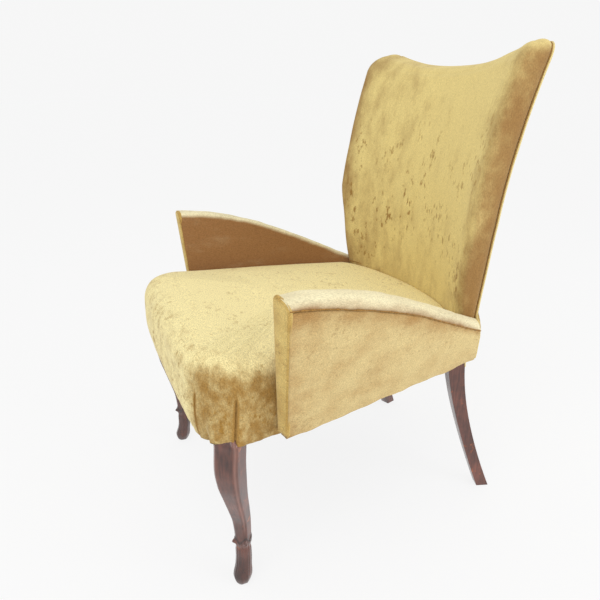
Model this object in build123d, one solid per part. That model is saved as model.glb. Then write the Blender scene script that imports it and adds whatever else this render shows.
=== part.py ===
from build123d import *
from math import cos, pi, radians, sin, sqrt
import os

# Small upholstered armchair with diagonal hoofed front legs and sabre rear legs.
# Millimetres, +Z up, the sitter faces -Y. The origin lies on the floor under the middle of the chair.
# Left is the sitter's left, +X. Every right-hand piece is the mirror image of its left-hand partner.

# Seat upholstery
SEAT_FRONT = -315           # front of the seat at its fullest level
SEAT_FRONT_HALF = 268       # half width of the seat at its front corners
SEAT_REAR_HALF = 226        # half width of the seat at its rear edge
SEAT_REAR = 250             # rear edge of the seat, before the back trims it
SEAT_EDGE = 409             # top of the rolled edge at the front, the seat height
SEAT_DEPTH = 137            # from there to the lower hem and the underside of the rails
FULLEST_SHARE = 0.72        # place of the fullest part of the sides between the hem and the rolled edge
SEAT_TUCK = 16              # how far the sides draw in towards the hem
SEAT_BOW = 6                # bow of the front edge in plan
SEAT_CORNER = 84            # plan radius of the front corners
SEAT_TILT = 2.6             # degrees by which the top falls towards the rear
SEAT_CROWN = 7              # rise of the crown over the rolled edge
SEAT_CROWN_MARGIN = 40      # width over which the crown rises
SEAT_ROLL = 36              # rolled top edge of the seat
ROLL_STEPS = 5              # straight steps in the rolled edge

# Back upholstery, turned about an upright axis in front of the chair
BACK_AXIS = -270            # place of that axis along Y
BACK_FOOT_RADIUS = 515      # radius of the outside of the back where it stands upright
BACK_UPRIGHT_LEVEL = 360    # level where the outside stands upright
BACK_SWEEP_RADIUS = 1335    # upright curve of the outside
BACK_INSIDE_RADIUS = 476    # radius of the inside of the back where it stands upright
BACK_LUMBAR_LEVEL = 450     # level where the inside stands upright
BACK_INSIDE_SWEEP = 1105    # upright curve of the inside
BACK_LIMIT = 850            # level at which the swept lines end, above the horns
BACK_FOOT_HALF = 194        # half widths of the shield outline at the hem, the hips and the horns
BACK_HIP_HALF = 234
BACK_HORN_FLARE = 2
BACK_HORN_HALF = BACK_HIP_HALF + BACK_HORN_FLARE
BACK_HIP_LEVEL = 560
BACK_DIP = 802              # top edge at the middle
BACK_HORN = 840             # top edge at the horns, before they are rounded
HORN_RADIUS = 24
BACK_ROLL = 20              # rolled front edges of the back at its sides
BACK_TOP_ROLL = 18          # how far the front leans off towards the top edge
BACK_STEPS = 3              # straight steps in the upright curve, below and above the hips

# Arm panels, which splay in plan and lean outwards
ARM_FRONT = -202            # front face of the arms
ARM_FRONT_LEAN = 18         # how far the front face draws back from its top to its bottom
ARM_REAR = 240              # rear end of the arms, before the back trims them
ARM_RISE = 108              # height of the arms over the seat edge at the front
ARM_REAR_DROP = 43          # drop of the arms below the seat edge at the rear
ARM_FALL_POWER = 1.15       # shapes the fall of the arm towards the back
ARM_LIFT_FRONT = 16         # lower edge of the arms over the hem of the seat, front and rear
ARM_LIFT_REAR = 50
ARM_INNER_FOOT = 257        # inner and outer faces of the arm at its front lower corner
ARM_OUTER_FOOT = 286
ARM_SPLAY = 0.162           # sideways run per unit of depth
ARM_INNER_LEAN = 0.139      # outward run per unit of height
ARM_OUTER_LEAN = 0.239
ARM_ROLL = 22               # drop of the rolled top on the inner side
ARM_STEPS = 8               # straight steps along the fall of the arm
ARM_SEAM_DROP = 16          # drop of the seam on the outer side
ARM_INNER_DEPTH = 6         # velvet and wadding on the inner face

# Cloth and padding
COVER = 2                   # velvet with its lining
FIT = 0.4                   # room between neighbouring soft pieces
SEAT_WADDING = 31           # velvet and wadding of the seat, over the hair stuffing
ARM_OUTER_WADDING = 3.4     # cotton layer under the outside arm cover
HESSIAN = 1.2
STRAP_THICK = 1.5
STRAP_WIDTH = 50
CLOTH_EDGE = 4              # how far straps and cloth end inside the frame's outer faces
SEAT_STRAPS_ACROSS = 4
SEAT_STRAPS_LONG = 4
SEAT_STRAP_LONG_STEP = 74
BACK_STRAPS_ACROSS = 3
BACK_STRAPS_UP = 3
BACK_STRAP_UP_STEP = 78

# Seat frame
RAIL_DEPTH = 73             # depth of the upholstery over the rails
RAIL_THICK = 26
FRONT_POST = 38             # square upper end of a front leg, inside the frame
FRONT_POST_X = 225
FRONT_POST_Y = -249
FRONT_POST_CHAMFER = 17     # outer corner, taken off inside the rounded cover
FRONT_RAIL_BOW = 4          # bow of the front rail's outer face
BLOCK_REACH = 66            # legs of a corner block along the rails
BLOCK_SETBACK = 9           # how far the blocks stay inside the rails' upper and lower edges
RAIL_INSET = 1              # how far the side rails stand in from the outer faces of the front posts

# Front legs: square in section, set on the diagonal, with a hoof
FRONT_LEG_X = 229           # middle of the foot
FRONT_LEG_Y = -250
KNEE_WIDTH = 42
KNEE_SHIFT = 16             # how far the knee stands out from the foot along the diagonal
CALF_LEVEL = 205
CALF_WIDTH = 35
CALF_SHIFT = 13
SHIN_LEVEL = 148
SHIN_WIDTH = 27
SHIN_SHIFT = 2.5
ANKLE_LEVEL = 98
ANKLE_WIDTH = 22
ANKLE_SHIFT = -4
LEG_CHAMFER = 4             # flattened corners of the leg
HOOF_TOP = 68
HOOF_CUFF_WIDTH = 26.5
HOOF_WAIST_LEVEL = 44
HOOF_WAIST_WIDTH = 24
HOOF_TOE_LEVEL = 15
HOOF_TOE_WIDTH = 28
HOOF_SOLE_WIDTH = 21
HOOF_CHAMFER = 5

# Rear posts: sabre leg below, stile of the back above, in an upright plane through the back's axis
POST_ANGLE = 18.4           # turn of that plane from the middle of the chair
POST_WIDTH = 30
POST_FOOT_WIDTH = 22
POST_DEPTH = 31             # depth of the post beside the rails, with the outside cover
POST_FRONT_RADIUS = BACK_FOOT_RADIUS - POST_DEPTH
POST_FOOT_RADIUS = 577      # middle of the foot
POST_FOOT_DEPTH = 24
LEG_FRONT_POWER = 1.3       # larger bends the front and rear lines of the sabre leg more towards the foot
LEG_REAR_POWER = 1.55
LEG_POINTS = 4              # spans of the curves through the sabre leg
STILE_THICK = 18

# Back and arm frame
FRAME_GAP = 0.5             # room between the frame and the outside cover
BACK_COVER_DEPTH = 6        # velvet and wadding of the inside back
FRAME_INSET = 14            # padding beyond the edge of the back frame
CREST_BOTTOM = 738
LOWER_RAIL_GAP = 10         # gap between the seat rails and the lower rail of the back
LOWER_RAIL_HEIGHT = 38
ARM_BOARD = 15
SPACER_LENGTH = 56
SPACER_FRONT = -160         # front ends of the spacers between side rail and arm board
SPACER_REAR = 84
SPACER_EDGE = 3             # how far the spacers stay inside the rail's upper and the board's lower edge

# Fastenings
DOWEL_DIAMETER = 10
DOWEL_LENGTH = 40
ROD_SIDES = 12              # sides of the prisms that stand for dowels and screws
HOLE_ROOM = 0.1
HOLE_DEPTH_ROOM = 1
SCREW_DIAMETER = 4.5
SCREW_HEAD = 8.5
SCREW_HEAD_DEPTH = 3
BLOCK_SCREW_LENGTH = 52
ARM_SCREW_LENGTH = 72

# Worked out from the above
SEAT_BOTTOM = SEAT_EDGE - SEAT_DEPTH
SEAT_FULLEST = SEAT_BOTTOM + FULLEST_SHARE * (SEAT_DEPTH - SEAT_ROLL)
STUFFING_TOP = SEAT_EDGE - SEAT_WADDING
ARM_FRONT_HEIGHT = SEAT_EDGE + ARM_RISE
ARM_REAR_HEIGHT = SEAT_EDGE - ARM_REAR_DROP
ARM_BOTTOM_FRONT = SEAT_BOTTOM + ARM_LIFT_FRONT
ARM_BOTTOM_REAR = SEAT_BOTTOM + ARM_LIFT_REAR
RAIL_TOP = SEAT_EDGE - RAIL_DEPTH
RAIL_HEIGHT = RAIL_TOP - SEAT_BOTTOM
LOWER_RAIL_BOTTOM = RAIL_TOP + LOWER_RAIL_GAP
WEB_TOP = RAIL_TOP + 2 * STRAP_THICK
PAD_FLOOR = WEB_TOP + HESSIAN + 2 * FIT
UP = Axis((0, BACK_AXIS, 0), (0, 0, 1))
FAR = 900                   # past everything
CLEAR = 100                 # past a neighbouring piece
HAIR = 0.02                 # keeps two cutting faces from coinciding
TURN = 90                   # degrees through which the back's lines are turned
MIDDLE = (SEAT_FRONT + BACK_AXIS + BACK_FOOT_RADIUS + BACK_SWEEP_RADIUS
          - sqrt(BACK_SWEEP_RADIUS ** 2 - (BACK_DIP - BACK_UPRIGHT_LEVEL) ** 2)) / 2


def solid(shape):
    """The one solid that a boolean leaves."""
    bodies = sorted(shape.solids(), key=lambda body: body.volume)
    crumbs = sum(body.volume for body in bodies[:-1])
    if crumbs > 1:
        print("loose piece of", round(crumbs), "cubic mm")
    return bodies[-1]


def both(piece):
    """A left-hand piece and its mirror image."""
    return piece, piece.mirror(Plane.YZ)


def block(x0, x1, y0, y1, z0, z1):
    return Solid.make_box(x1 - x0, y1 - y0, z1 - z0, Plane((x0, y0, z0)))


def prism(points, z0, z1):
    """Upright prism on a plan polygon."""
    face = Face(Wire.make_polygon([(x, y, z0) for x, y in points]))
    return Solid.extrude(face, Vector(0, 0, z1 - z0))


def slab_between(z0, z1):
    return block(-FAR, FAR, -FAR, FAR, z0, z1)


def rod(start, direction, length, diameter):
    """Round bar, drawn as a prism of many sides."""
    plane = Plane(start, z_dir=direction)
    turns = [2 * pi * k / ROD_SIDES for k in range(ROD_SIDES)]
    ring = [plane.from_local_coords((diameter / 2 * cos(t), diameter / 2 * sin(t), 0)) for t in turns]
    return Solid.extrude(Face(Wire.make_polygon(ring)), plane.z_dir * length)


# Back: lines, layers and shield outline

def swept(upright, level, curve, z):
    """Radius at a level of a line that stands upright at one level and curves back from it."""
    return upright + curve - sqrt(curve ** 2 - (z - level) ** 2)


def rear_radius(z):
    return swept(BACK_FOOT_RADIUS, BACK_UPRIGHT_LEVEL, BACK_SWEEP_RADIUS, z)


def front_radius(z):
    roll = max(0, z - BACK_DIP) / (BACK_LIMIT - BACK_DIP) * BACK_TOP_ROLL
    return swept(BACK_INSIDE_RADIUS, BACK_LUMBAR_LEVEL, BACK_INSIDE_SWEEP, z) + roll


def back_levels():
    """Levels of the upright curve, with one at the hips and one at the dip of the top edge."""
    lower = [PAD_FLOOR + (BACK_HIP_LEVEL - PAD_FLOOR) * k / BACK_STEPS for k in range(BACK_STEPS)]
    upper = [BACK_HIP_LEVEL + (BACK_DIP - BACK_HIP_LEVEL) * k / BACK_STEPS for k in range(BACK_STEPS + 1)]
    return [SEAT_BOTTOM] + lower + upper + [BACK_LIMIT]


def back_line(radius, offset):
    """Line of the back in the plane x = 0."""
    return [(0, BACK_AXIS + radius(z) + offset, z) for z in back_levels()]


def turned(front, rear):
    """Curved slab between two lines of the back, turned about its axis."""
    face = Face(Wire.make_polygon(front + rear[::-1]))
    return Solid.revolve(face.rotate(UP, -TURN / 2), TURN, UP)


def rear_layer(outer, inner):
    """Layer of the back between two depths below its outside."""
    return turned(back_line(rear_radius, -inner), back_line(rear_radius, -outer))


def behind_back(depth):
    """Everything behind a surface at this depth below the outside of the back."""
    return turned(back_line(rear_radius, -depth), back_line(rear_radius, CLEAR))


def back_outline(inset):
    """Shield outline seen from the front: a hollow top edge between two rounded horns."""
    half = [(BACK_FOOT_HALF - inset, SEAT_BOTTOM), (BACK_HIP_HALF - inset, BACK_HIP_LEVEL),
            (BACK_HORN_HALF - inset, BACK_HORN - inset)]
    left = [Vector(x, 0, z) for x, z in half]
    right = [Vector(-x, 0, z) for x, z in half]
    top = Edge.make_three_point_arc(left[2], Vector(0, 0, BACK_DIP - inset), right[2])
    corners = right[::-1] + left
    edges = [top] + [Edge.make_line(a, b) for a, b in zip(corners, corners[1:])]
    face = Face(Wire(edges))
    radius = max(HORN_RADIUS - inset, FRAME_INSET)
    return face.fillet_2d(radius, [v for v in face.vertices() if abs(v.Z - left[2].Z) < FIT])


def shield(inset):
    """Prism of the shield outline through the whole depth of the chair."""
    face = back_outline(inset).translate((0, BACK_AXIS, 0))
    return Solid.extrude(face, Vector(0, FAR, 0))


def back_block(inset, rear):
    """Inside of the back with sharp edges."""
    return solid(turned(back_line(front_radius, inset), back_line(rear_radius, -rear)) & shield(inset))


def back_half(z):
    """Half width of the shield outline at a level."""
    if z < BACK_HIP_LEVEL:
        share = (z - SEAT_BOTTOM) / (BACK_HIP_LEVEL - SEAT_BOTTOM)
        return BACK_FOOT_HALF + (BACK_HIP_HALF - BACK_FOOT_HALF) * share
    share = (z - BACK_HIP_LEVEL) / (BACK_HORN - BACK_HIP_LEVEL)
    return BACK_HIP_HALF + (BACK_HORN_HALF - BACK_HIP_HALF) * share


def back_section(z, rear):
    """Level section of the back: two arcs about the axis joined by sides with rolled front corners."""
    inner, outer, half = front_radius(z), rear_radius(z) - rear, back_half(z)
    def arc(radius):
        side = BACK_AXIS + sqrt(radius ** 2 - half ** 2)
        return Edge.make_three_point_arc((-half, side, z), (0, BACK_AXIS + radius, z), (half, side, z))
    front, back = arc(inner), arc(outer)
    face = Face(Wire([front, Edge.make_line(front @ 1, back @ 1), back, Edge.make_line(back @ 0, front @ 0)]))
    corners = [v for v in face.vertices() if abs(v.Y - (front @ 0).Y) < FIT]
    return face.fillet_2d(BACK_ROLL, corners).outer_wire()


def back_form(rear):
    """Inside of the back with its rolled front edges, down to the floor of the padding."""
    form = Solid.make_loft([back_section(z, rear) for z in back_levels()[1:]], True)
    return solid(form & shield(-HAIR))


# Arm: planes, top line and sections

def arm_inner(y, z):
    return ARM_INNER_FOOT - ARM_SPLAY * (y - ARM_FRONT) + ARM_INNER_LEAN * (z - ARM_BOTTOM_FRONT)


def arm_outer(y, z):
    return ARM_OUTER_FOOT - ARM_SPLAY * (y - ARM_FRONT) + ARM_OUTER_LEAN * (z - ARM_BOTTOM_FRONT)


def arm_share(y):
    return (y - ARM_FRONT) / (ARM_REAR - ARM_FRONT)


def arm_top(y):
    """Top line: level at the front, then falling towards the back."""
    fall = max(0, cos(pi / 2 * arm_share(y))) ** ARM_FALL_POWER
    return ARM_REAR_HEIGHT + (ARM_FRONT_HEIGHT - ARM_REAR_HEIGHT) * fall


def arm_bottom(y):
    return ARM_BOTTOM_FRONT + (ARM_BOTTOM_REAR - ARM_BOTTOM_FRONT) * arm_share(y)


def arm_slab(low, high, inner, outer, front):
    """Slab along the splay of the arm between two sloping faces given as functions of y and z."""
    corners = [(inner(front, low), front, low), (inner(front, high), front, high),
               (outer(front, high), front, high), (outer(front, low), front, low)]
    run = ARM_REAR - front
    return Solid.extrude(Face(Wire.make_polygon(corners)), Vector(-ARM_SPLAY * run, run, 0))


def arm_profile(low, drop, front):
    """Side outline of the arm from its lower edge to a line below its top, through the whole width."""
    steps = [front] + [ARM_FRONT + (ARM_REAR - ARM_FRONT) * k / ARM_STEPS for k in range(1, ARM_STEPS + 1)]
    top = [(0, y, arm_top(y) - drop) for y in steps]
    outline = Wire.make_polygon(top + [(0, ARM_REAR, low(ARM_REAR)), (0, front, low(front))])
    return Solid.extrude(Face(outline), Vector(FAR, 0, 0))


def arm_plain(inner, outer, low, drop, front=ARM_FRONT):
    """Sharp-edged piece of the arm between two sloping faces, a lower edge and a line below the top."""
    slab = arm_slab(SEAT_BOTTOM - FIT, ARM_FRONT_HEIGHT + FIT, inner, outer, front)
    return solid(slab & arm_profile(low, drop, front))


def arm_section(y):
    """Whole arm: flat inner and outer faces under a rolled top."""
    top, low = arm_top(y), arm_bottom(y)
    start = Vector(arm_inner(y, top - ARM_ROLL), y, top - ARM_ROLL)
    end = Vector(arm_outer(y, top - ARM_SEAM_DROP), y, top - ARM_SEAM_DROP)
    crest = Vector((start.X + end.X) / 2, y, top)
    inner, outer = Vector(arm_inner(y, low), y, low), Vector(arm_outer(y, low), y, low)
    return Wire([Edge.make_line(inner, start), Edge.make_three_point_arc(start, crest, end),
                 Edge.make_line(end, outer), Edge.make_line(outer, inner)])


def before_arm(depth):
    """Everything in front of a surface at this depth behind the leaning front of the arm."""
    slope = ARM_FRONT_LEAN / (ARM_FRONT_HEIGHT - ARM_BOTTOM_FRONT)
    line = [(0, ARM_FRONT + depth + slope * (ARM_FRONT_HEIGHT - z), z) for z in (0, FAR)]
    outline = Wire.make_polygon(line + [(0, -FAR, FAR), (0, -FAR, 0)])
    return Solid.extrude(Face(outline), Vector(FAR, 0, 0))


def arm_form():
    stations = [ARM_FRONT + (ARM_REAR - ARM_FRONT) * k / ARM_STEPS for k in range(ARM_STEPS + 1)]
    return Solid.make_loft([arm_section(y) for y in stations], True)


# Seat: barrel-sided block under a crowned top

def seat_plan(grow, z):
    front = SEAT_FRONT - grow
    wide = SEAT_FRONT_HALF + grow
    narrow = SEAT_REAR_HALF + grow
    left, right = Vector(wide, front + SEAT_BOW, z), Vector(-wide, front + SEAT_BOW, z)
    middle = Vector(0, front, z)
    rear_left, rear_right = Vector(narrow, SEAT_REAR, z), Vector(-narrow, SEAT_REAR, z)
    edges = [Edge.make_three_point_arc(right, middle, left), Edge.make_line(left, rear_left),
             Edge.make_line(rear_left, rear_right), Edge.make_line(rear_right, right)]
    face = Face(Wire(edges))
    return face.fillet_2d(SEAT_CORNER + grow, [v for v in face.vertices() if v.Y < 0])


def seat_ring(z, grow, tilt):
    """Plan outline at a level, lowered towards the rear by a tilt."""
    return seat_plan(grow, z).outer_wire().rotate(Axis((0, SEAT_FRONT, z), (1, 0, 0)), -tilt)


def seat_form():
    """Barrel sides, rolled top edge and crown, ring above ring."""
    rings = [seat_ring(SEAT_BOTTOM, -SEAT_TUCK, 0)]
    rings.append(seat_ring((SEAT_BOTTOM + SEAT_FULLEST) / 2, -SEAT_TUCK / 4, 0))
    rings.append(seat_ring(SEAT_FULLEST, 0, 0))
    for k in range(ROLL_STEPS + 1):
        turn = pi / 2 * k / ROLL_STEPS
        level = SEAT_EDGE - SEAT_ROLL * (1 - sin(turn))
        rings.append(seat_ring(level, -SEAT_ROLL * (1 - cos(turn)), SEAT_TILT))
    rings.append(seat_ring(SEAT_EDGE + SEAT_CROWN, -SEAT_ROLL - SEAT_CROWN_MARGIN, SEAT_TILT))
    return Solid.make_loft(rings, True)


def seat_body():
    """Seat form trimmed by the arms and the back, with room between them."""
    form = seat_form()
    back = turned(back_line(front_radius, -FIT), back_line(rear_radius, CLEAR))
    inner = arm_slab(0, 2 * SEAT_FULLEST, lambda y, z: arm_inner(y, z) - 2 * FIT, lambda y, z: FAR,
                     ARM_FRONT - FIT)
    for arm in both(inner):
        form = form - arm
    return solid(form - back)


# Seat frame lines

def post_point(radius, across, z=0):
    """Point on the left rear post: a radius from the back's axis and a distance across the post."""
    a = radians(POST_ANGLE)
    return Vector(radius * sin(a) + across * cos(a), BACK_AXIS + radius * cos(a) - across * sin(a), z)


RAIL_FRONT = FRONT_POST_Y + FRONT_POST / 2  # front end of the side rails
RAIL_FRONT_X = FRONT_POST_X + FRONT_POST / 2 - RAIL_INSET  # outer face of the side rails there
RAIL_REAR = post_point(POST_FRONT_RADIUS, POST_WIDTH / 2)
RAIL_SLOPE = (RAIL_REAR.X - RAIL_FRONT_X) / (RAIL_REAR.Y - RAIL_FRONT)


def rail_outer(y):
    return RAIL_FRONT_X + RAIL_SLOPE * (y - RAIL_FRONT)


def rail_inner(y):
    return rail_outer(y) - RAIL_THICK * sqrt(1 + RAIL_SLOPE ** 2)


# Fastenings

def screw(start, direction, length, room=0):
    """Round-headed wood screw sunk into its piece, or the hole for one when it has room round it."""
    line = Vector(*direction).normalized()
    shank = rod(start, line, length + room, SCREW_DIAMETER + 2 * room)
    return solid(shank + rod(start, line, SCREW_HEAD_DEPTH + room, SCREW_HEAD + 2 * room))


def dowel(middle, direction):
    """A dowel and the hole it needs in both pieces, centred on a joint."""
    line = Vector(*direction).normalized()
    pin = rod(middle - line * (DOWEL_LENGTH / 2), line, DOWEL_LENGTH, DOWEL_DIAMETER)
    deep = DOWEL_LENGTH + 2 * HOLE_DEPTH_ROOM
    hole = rod(middle - line * (deep / 2), line, deep, DOWEL_DIAMETER + 2 * HOLE_ROOM)
    return pin, hole


def cut(piece, holes):
    for hole in holes:
        piece = piece - hole
    return solid(piece)


def group(pieces):
    """Left-hand pieces and their mirror images as one node."""
    return Compound([side for piece in pieces for side in both(piece)])


# Front leg with its post

def leg_section(z, shift, width, chamfer):
    """Square on the diagonal with flattened corners."""
    half, flat = width / 2, width / 2 - chamfer
    ring = [(half, -flat), (half, flat), (flat, half), (-flat, half),
            (-half, flat), (-half, -flat), (-flat, -half), (flat, -half)]
    d = sqrt(0.5)
    points = [(FRONT_LEG_X + (u + shift + v) * d, FRONT_LEG_Y - (u + shift - v) * d, z) for u, v in ring]
    return Wire.make_polygon(points)


def make_front_leg():
    levels = ((SEAT_BOTTOM, KNEE_SHIFT, KNEE_WIDTH), (CALF_LEVEL, CALF_SHIFT, CALF_WIDTH),
              (SHIN_LEVEL, SHIN_SHIFT, SHIN_WIDTH), (ANKLE_LEVEL, ANKLE_SHIFT, ANKLE_WIDTH),
              (HOOF_WAIST_LEVEL, ANKLE_SHIFT, ANKLE_WIDTH))
    shaft = Solid.make_loft([leg_section(z, s, w, LEG_CHAMFER) for z, s, w in levels])
    hoof_shift = ANKLE_SHIFT / 2
    rings = ((HOOF_TOP, hoof_shift, HOOF_CUFF_WIDTH), (HOOF_WAIST_LEVEL, hoof_shift, HOOF_WAIST_WIDTH),
             (HOOF_TOE_LEVEL, 0, HOOF_TOE_WIDTH), (0, 0, HOOF_SOLE_WIDTH))
    hoof = Solid.make_loft([leg_section(z, s, w, HOOF_CHAMFER) for z, s, w in rings])
    return solid(shaft + hoof + front_post(0))


def front_post(room):
    """Square upper end of the leg with its outer corner taken off."""
    h = FRONT_POST / 2 + room
    c = FRONT_POST_CHAMFER
    plan = [(-h, -h), (h - c, -h), (h, c - h), (h, h), (-h, h)]
    points = [(FRONT_POST_X + x, FRONT_POST_Y + y) for x, y in plan]
    return prism(points, SEAT_BOTTOM - room, RAIL_TOP + room)


# Rear post

def make_rear_post():
    """Sabre leg and stile, cut from one plank and tapered towards the foot."""
    inner, outer = POST_FRONT_RADIUS, rear_radius(SEAT_BOTTOM) - COVER - FRAME_GAP
    def curve(top, foot, power):
        steps = [k / LEG_POINTS for k in range(LEG_POINTS + 1)]
        return Edge.make_spline([(0, BACK_AXIS + top + (foot - top) * (1 - t) ** power, SEAT_BOTTOM * t)
                                 for t in steps])
    front = curve(inner, POST_FOOT_RADIUS - POST_FOOT_DEPTH / 2, LEG_FRONT_POWER)
    rear = curve(outer, POST_FOOT_RADIUS + POST_FOOT_DEPTH / 2, LEG_REAR_POWER)
    leg = Wire([front, Edge.make_line(front @ 1, rear @ 1), rear, Edge.make_line(rear @ 0, front @ 0)])
    depth = COVER + FRAME_GAP
    stile_front = back_line(rear_radius, -depth - STILE_THICK)
    stile = Wire.make_polygon(stile_front + back_line(rear_radius, -depth)[::-1])
    merge = BACK_AXIS + outer - STILE_THICK / 2
    knee = Wire.make_polygon([(0, BACK_AXIS + inner, SEAT_BOTTOM), (0, BACK_AXIS + inner, RAIL_TOP),
                              (0, merge, RAIL_TOP), (0, merge, SEAT_BOTTOM)])
    pieces = [Solid.extrude(Face(w).translate((-POST_WIDTH / 2, 0, 0)), Vector(POST_WIDTH, 0, 0))
              for w in (leg, stile, knee)]
    post = solid((pieces[0] + pieces[1] + pieces[2]) & slab_between(0, CREST_BOTTOM))
    wide, narrow = POST_WIDTH / 2, POST_FOOT_WIDTH / 2
    taper = [(-narrow, 0), (narrow, 0), (wide, SEAT_BOTTOM), (wide, FAR), (-wide, FAR), (-wide, SEAT_BOTTOM)]
    outline = Face(Wire.make_polygon([(x, BACK_AXIS, z) for x, z in taper]))
    post = solid(post & Solid.extrude(outline, Vector(0, FAR, 0)))
    return post.rotate(UP, -POST_ANGLE)


def between_posts():
    """Upright wedge between the inner faces of the two rear posts."""
    near, far = post_point(POST_FRONT_RADIUS / 2, -POST_WIDTH / 2), post_point(FAR, -POST_WIDTH / 2)
    return prism([(-far.X, far.Y), (-near.X, near.Y), (near.X, near.Y), (far.X, far.Y)], 0, FAR)


def beside_post():
    """Upright half-space outside the left rear post."""
    near, far = post_point(0, POST_WIDTH / 2), post_point(FAR, POST_WIDTH / 2)
    return prism([(near.X, near.Y), (far.X, far.Y), (FAR, far.Y), (FAR, near.Y)], 0, FAR)


PARTS = {}


def add(name, shape):
    PARTS[name] = shape


def add_pair(name, piece):
    left, right = both(piece)
    add(name + "_left", left)
    add(name + "_right", right)


def build_frame():
    """Legs, rails, crest, cheeks and their dowels, blocks and screws."""
    depth = COVER + FRAME_GAP
    layer = rear_layer(depth, depth + STILE_THICK)
    leg = make_front_leg()
    post = make_rear_post()

    inner_face = FRONT_POST_X - FRONT_POST / 2
    rail_face = FRONT_POST_Y - FRONT_POST / 2
    rail_back = rail_face + RAIL_THICK
    bow = Vector(0, rail_face - FRONT_RAIL_BOW, SEAT_BOTTOM)
    right_end, left_end = [Vector(x, rail_face, SEAT_BOTTOM) for x in (-inner_face, inner_face)]
    arc = Edge.make_three_point_arc(right_end, bow, left_end)
    inside = [Vector(x, rail_back, SEAT_BOTTOM) for x in (inner_face, -inner_face)]
    corners = [arc @ 1] + inside + [arc @ 0]
    outline = Wire([arc] + [Edge.make_line(a, b) for a, b in zip(corners, corners[1:])])
    front_rail = Solid.extrude(Face(outline), Vector(0, 0, RAIL_HEIGHT))

    rear_y = post_point(POST_FRONT_RADIUS, -POST_WIDTH / 2).Y
    plan = [(rail_outer(RAIL_FRONT), RAIL_FRONT), (rail_inner(RAIL_FRONT), RAIL_FRONT),
            (rail_inner(rear_y), rear_y), (rail_outer(rear_y), rear_y)]
    side_rail = solid(prism(plan, SEAT_BOTTOM, RAIL_TOP) - post)

    rail_layer = rear_layer(depth, depth + RAIL_THICK)
    wedge = between_posts()
    rear_rail = solid(rail_layer & slab_between(SEAT_BOTTOM, RAIL_TOP) & wedge)
    lower_band = slab_between(LOWER_RAIL_BOTTOM, LOWER_RAIL_BOTTOM + LOWER_RAIL_HEIGHT)
    lower_rail = solid(layer & lower_band & wedge)
    frame_shield = shield(FRAME_INSET)
    crest = solid(layer & frame_shield & slab_between(CREST_BOTTOM, FAR))
    cheek = solid(layer & frame_shield & slab_between(LOWER_RAIL_BOTTOM, CREST_BOTTOM) & beside_post())

    middle = (SEAT_BOTTOM + RAIL_TOP) / 2
    a = radians(POST_ANGLE)
    across = (cos(a), -sin(a), 0)
    along = (RAIL_SLOPE, 1, 0)
    front_side = [dowel(Vector(inner_face, rail_face + RAIL_THICK / 2, middle), (1, 0, 0))]
    rail_middle = (rail_outer(RAIL_FRONT) + rail_inner(RAIL_FRONT)) / 2
    side_front = [dowel(Vector(rail_middle, RAIL_FRONT, middle), along)]
    side_rear = [dowel(post_point(POST_FRONT_RADIUS, 0, middle), along)]
    rail_radius = rear_radius(SEAT_BOTTOM) - depth - RAIL_THICK / 2
    rear_side = [dowel(post_point(rail_radius, -POST_WIDTH / 2, middle), across)]
    lower_level = LOWER_RAIL_BOTTOM + LOWER_RAIL_HEIGHT / 2
    stile_radius = rear_radius(lower_level) - depth - STILE_THICK / 2
    lower_side = [dowel(post_point(stile_radius, -POST_WIDTH / 2, lower_level), across)]
    crest_radius = rear_radius(CREST_BOTTOM) - depth - STILE_THICK / 2
    slope = (CREST_BOTTOM - BACK_UPRIGHT_LEVEL) / BACK_SWEEP_RADIUS
    crest_side = [dowel(post_point(crest_radius, 0, CREST_BOTTOM), (slope * sin(a), slope * cos(a), 1))]

    def holes(*sets):
        return [hole for joints in sets for pin, hole in joints]

    def mirrored(cuts):
        return [side for hole in cuts for side in both(hole)]

    reach = BLOCK_REACH
    block_plan = [(inner_face - reach, rail_back), (inner_face, rail_back), (inner_face, RAIL_FRONT),
                  (rail_inner(RAIL_FRONT), RAIL_FRONT), (rail_inner(RAIL_FRONT + reach), RAIL_FRONT + reach)]
    corner = prism(block_plan, SEAT_BOTTOM + BLOCK_SETBACK, RAIL_TOP - BLOCK_SETBACK)
    ends = block_plan[0], block_plan[-1]
    start = Vector(sum(x for x, y in ends) / 2, sum(y for x, y in ends) / 2, middle)
    block_screws = [(start, Vector(FRONT_POST_X, FRONT_POST_Y, middle) - start)]
    block_holes = [screw(p, tuple(d), BLOCK_SCREW_LENGTH, HOLE_ROOM) for p, d in block_screws]

    spacers, arm_holes, arm_screws = arm_spacers()

    add("front_rail", cut(front_rail, mirrored(holes(front_side))))
    add("rear_rail", cut(rear_rail, mirrored(holes(rear_side))))
    add_pair("side_rail", cut(side_rail, holes(side_front, side_rear) + arm_holes))
    add_pair("front_leg", cut(leg, holes(front_side, side_front) + block_holes))
    add_pair("rear_post", cut(post, holes(side_rear, rear_side, lower_side, crest_side)))
    add("crest_rail", cut(crest, mirrored(holes(crest_side))))
    add("back_lower_rail", cut(lower_rail, mirrored(holes(lower_side))))
    add_pair("back_cheek", cheek)
    add("corner_blocks", group([cut(corner, block_holes)]))
    add("corner_block_screws", group([screw(p, tuple(d), BLOCK_SCREW_LENGTH) for p, d in block_screws]))
    add("seat_frame_dowels", group([pin for pin, hole in front_side + side_front + side_rear + rear_side]))
    add("back_frame_dowels", group([pin for pin, hole in lower_side + crest_side]))
    add("arm_spacers", group([cut(spacer, arm_holes) for spacer in spacers]))
    add("arm_screws", group(arm_screws))
    return arm_holes


def arm_depth(depth):
    """Sloping face at a depth below the outside of the arm."""
    return lambda y, z: arm_outer(y, z) - depth


WADDING_FACE = COVER + FIT
BOARD_FACE = WADDING_FACE + ARM_OUTER_WADDING + FIT
board_inner = arm_depth(BOARD_FACE + ARM_BOARD)


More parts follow.
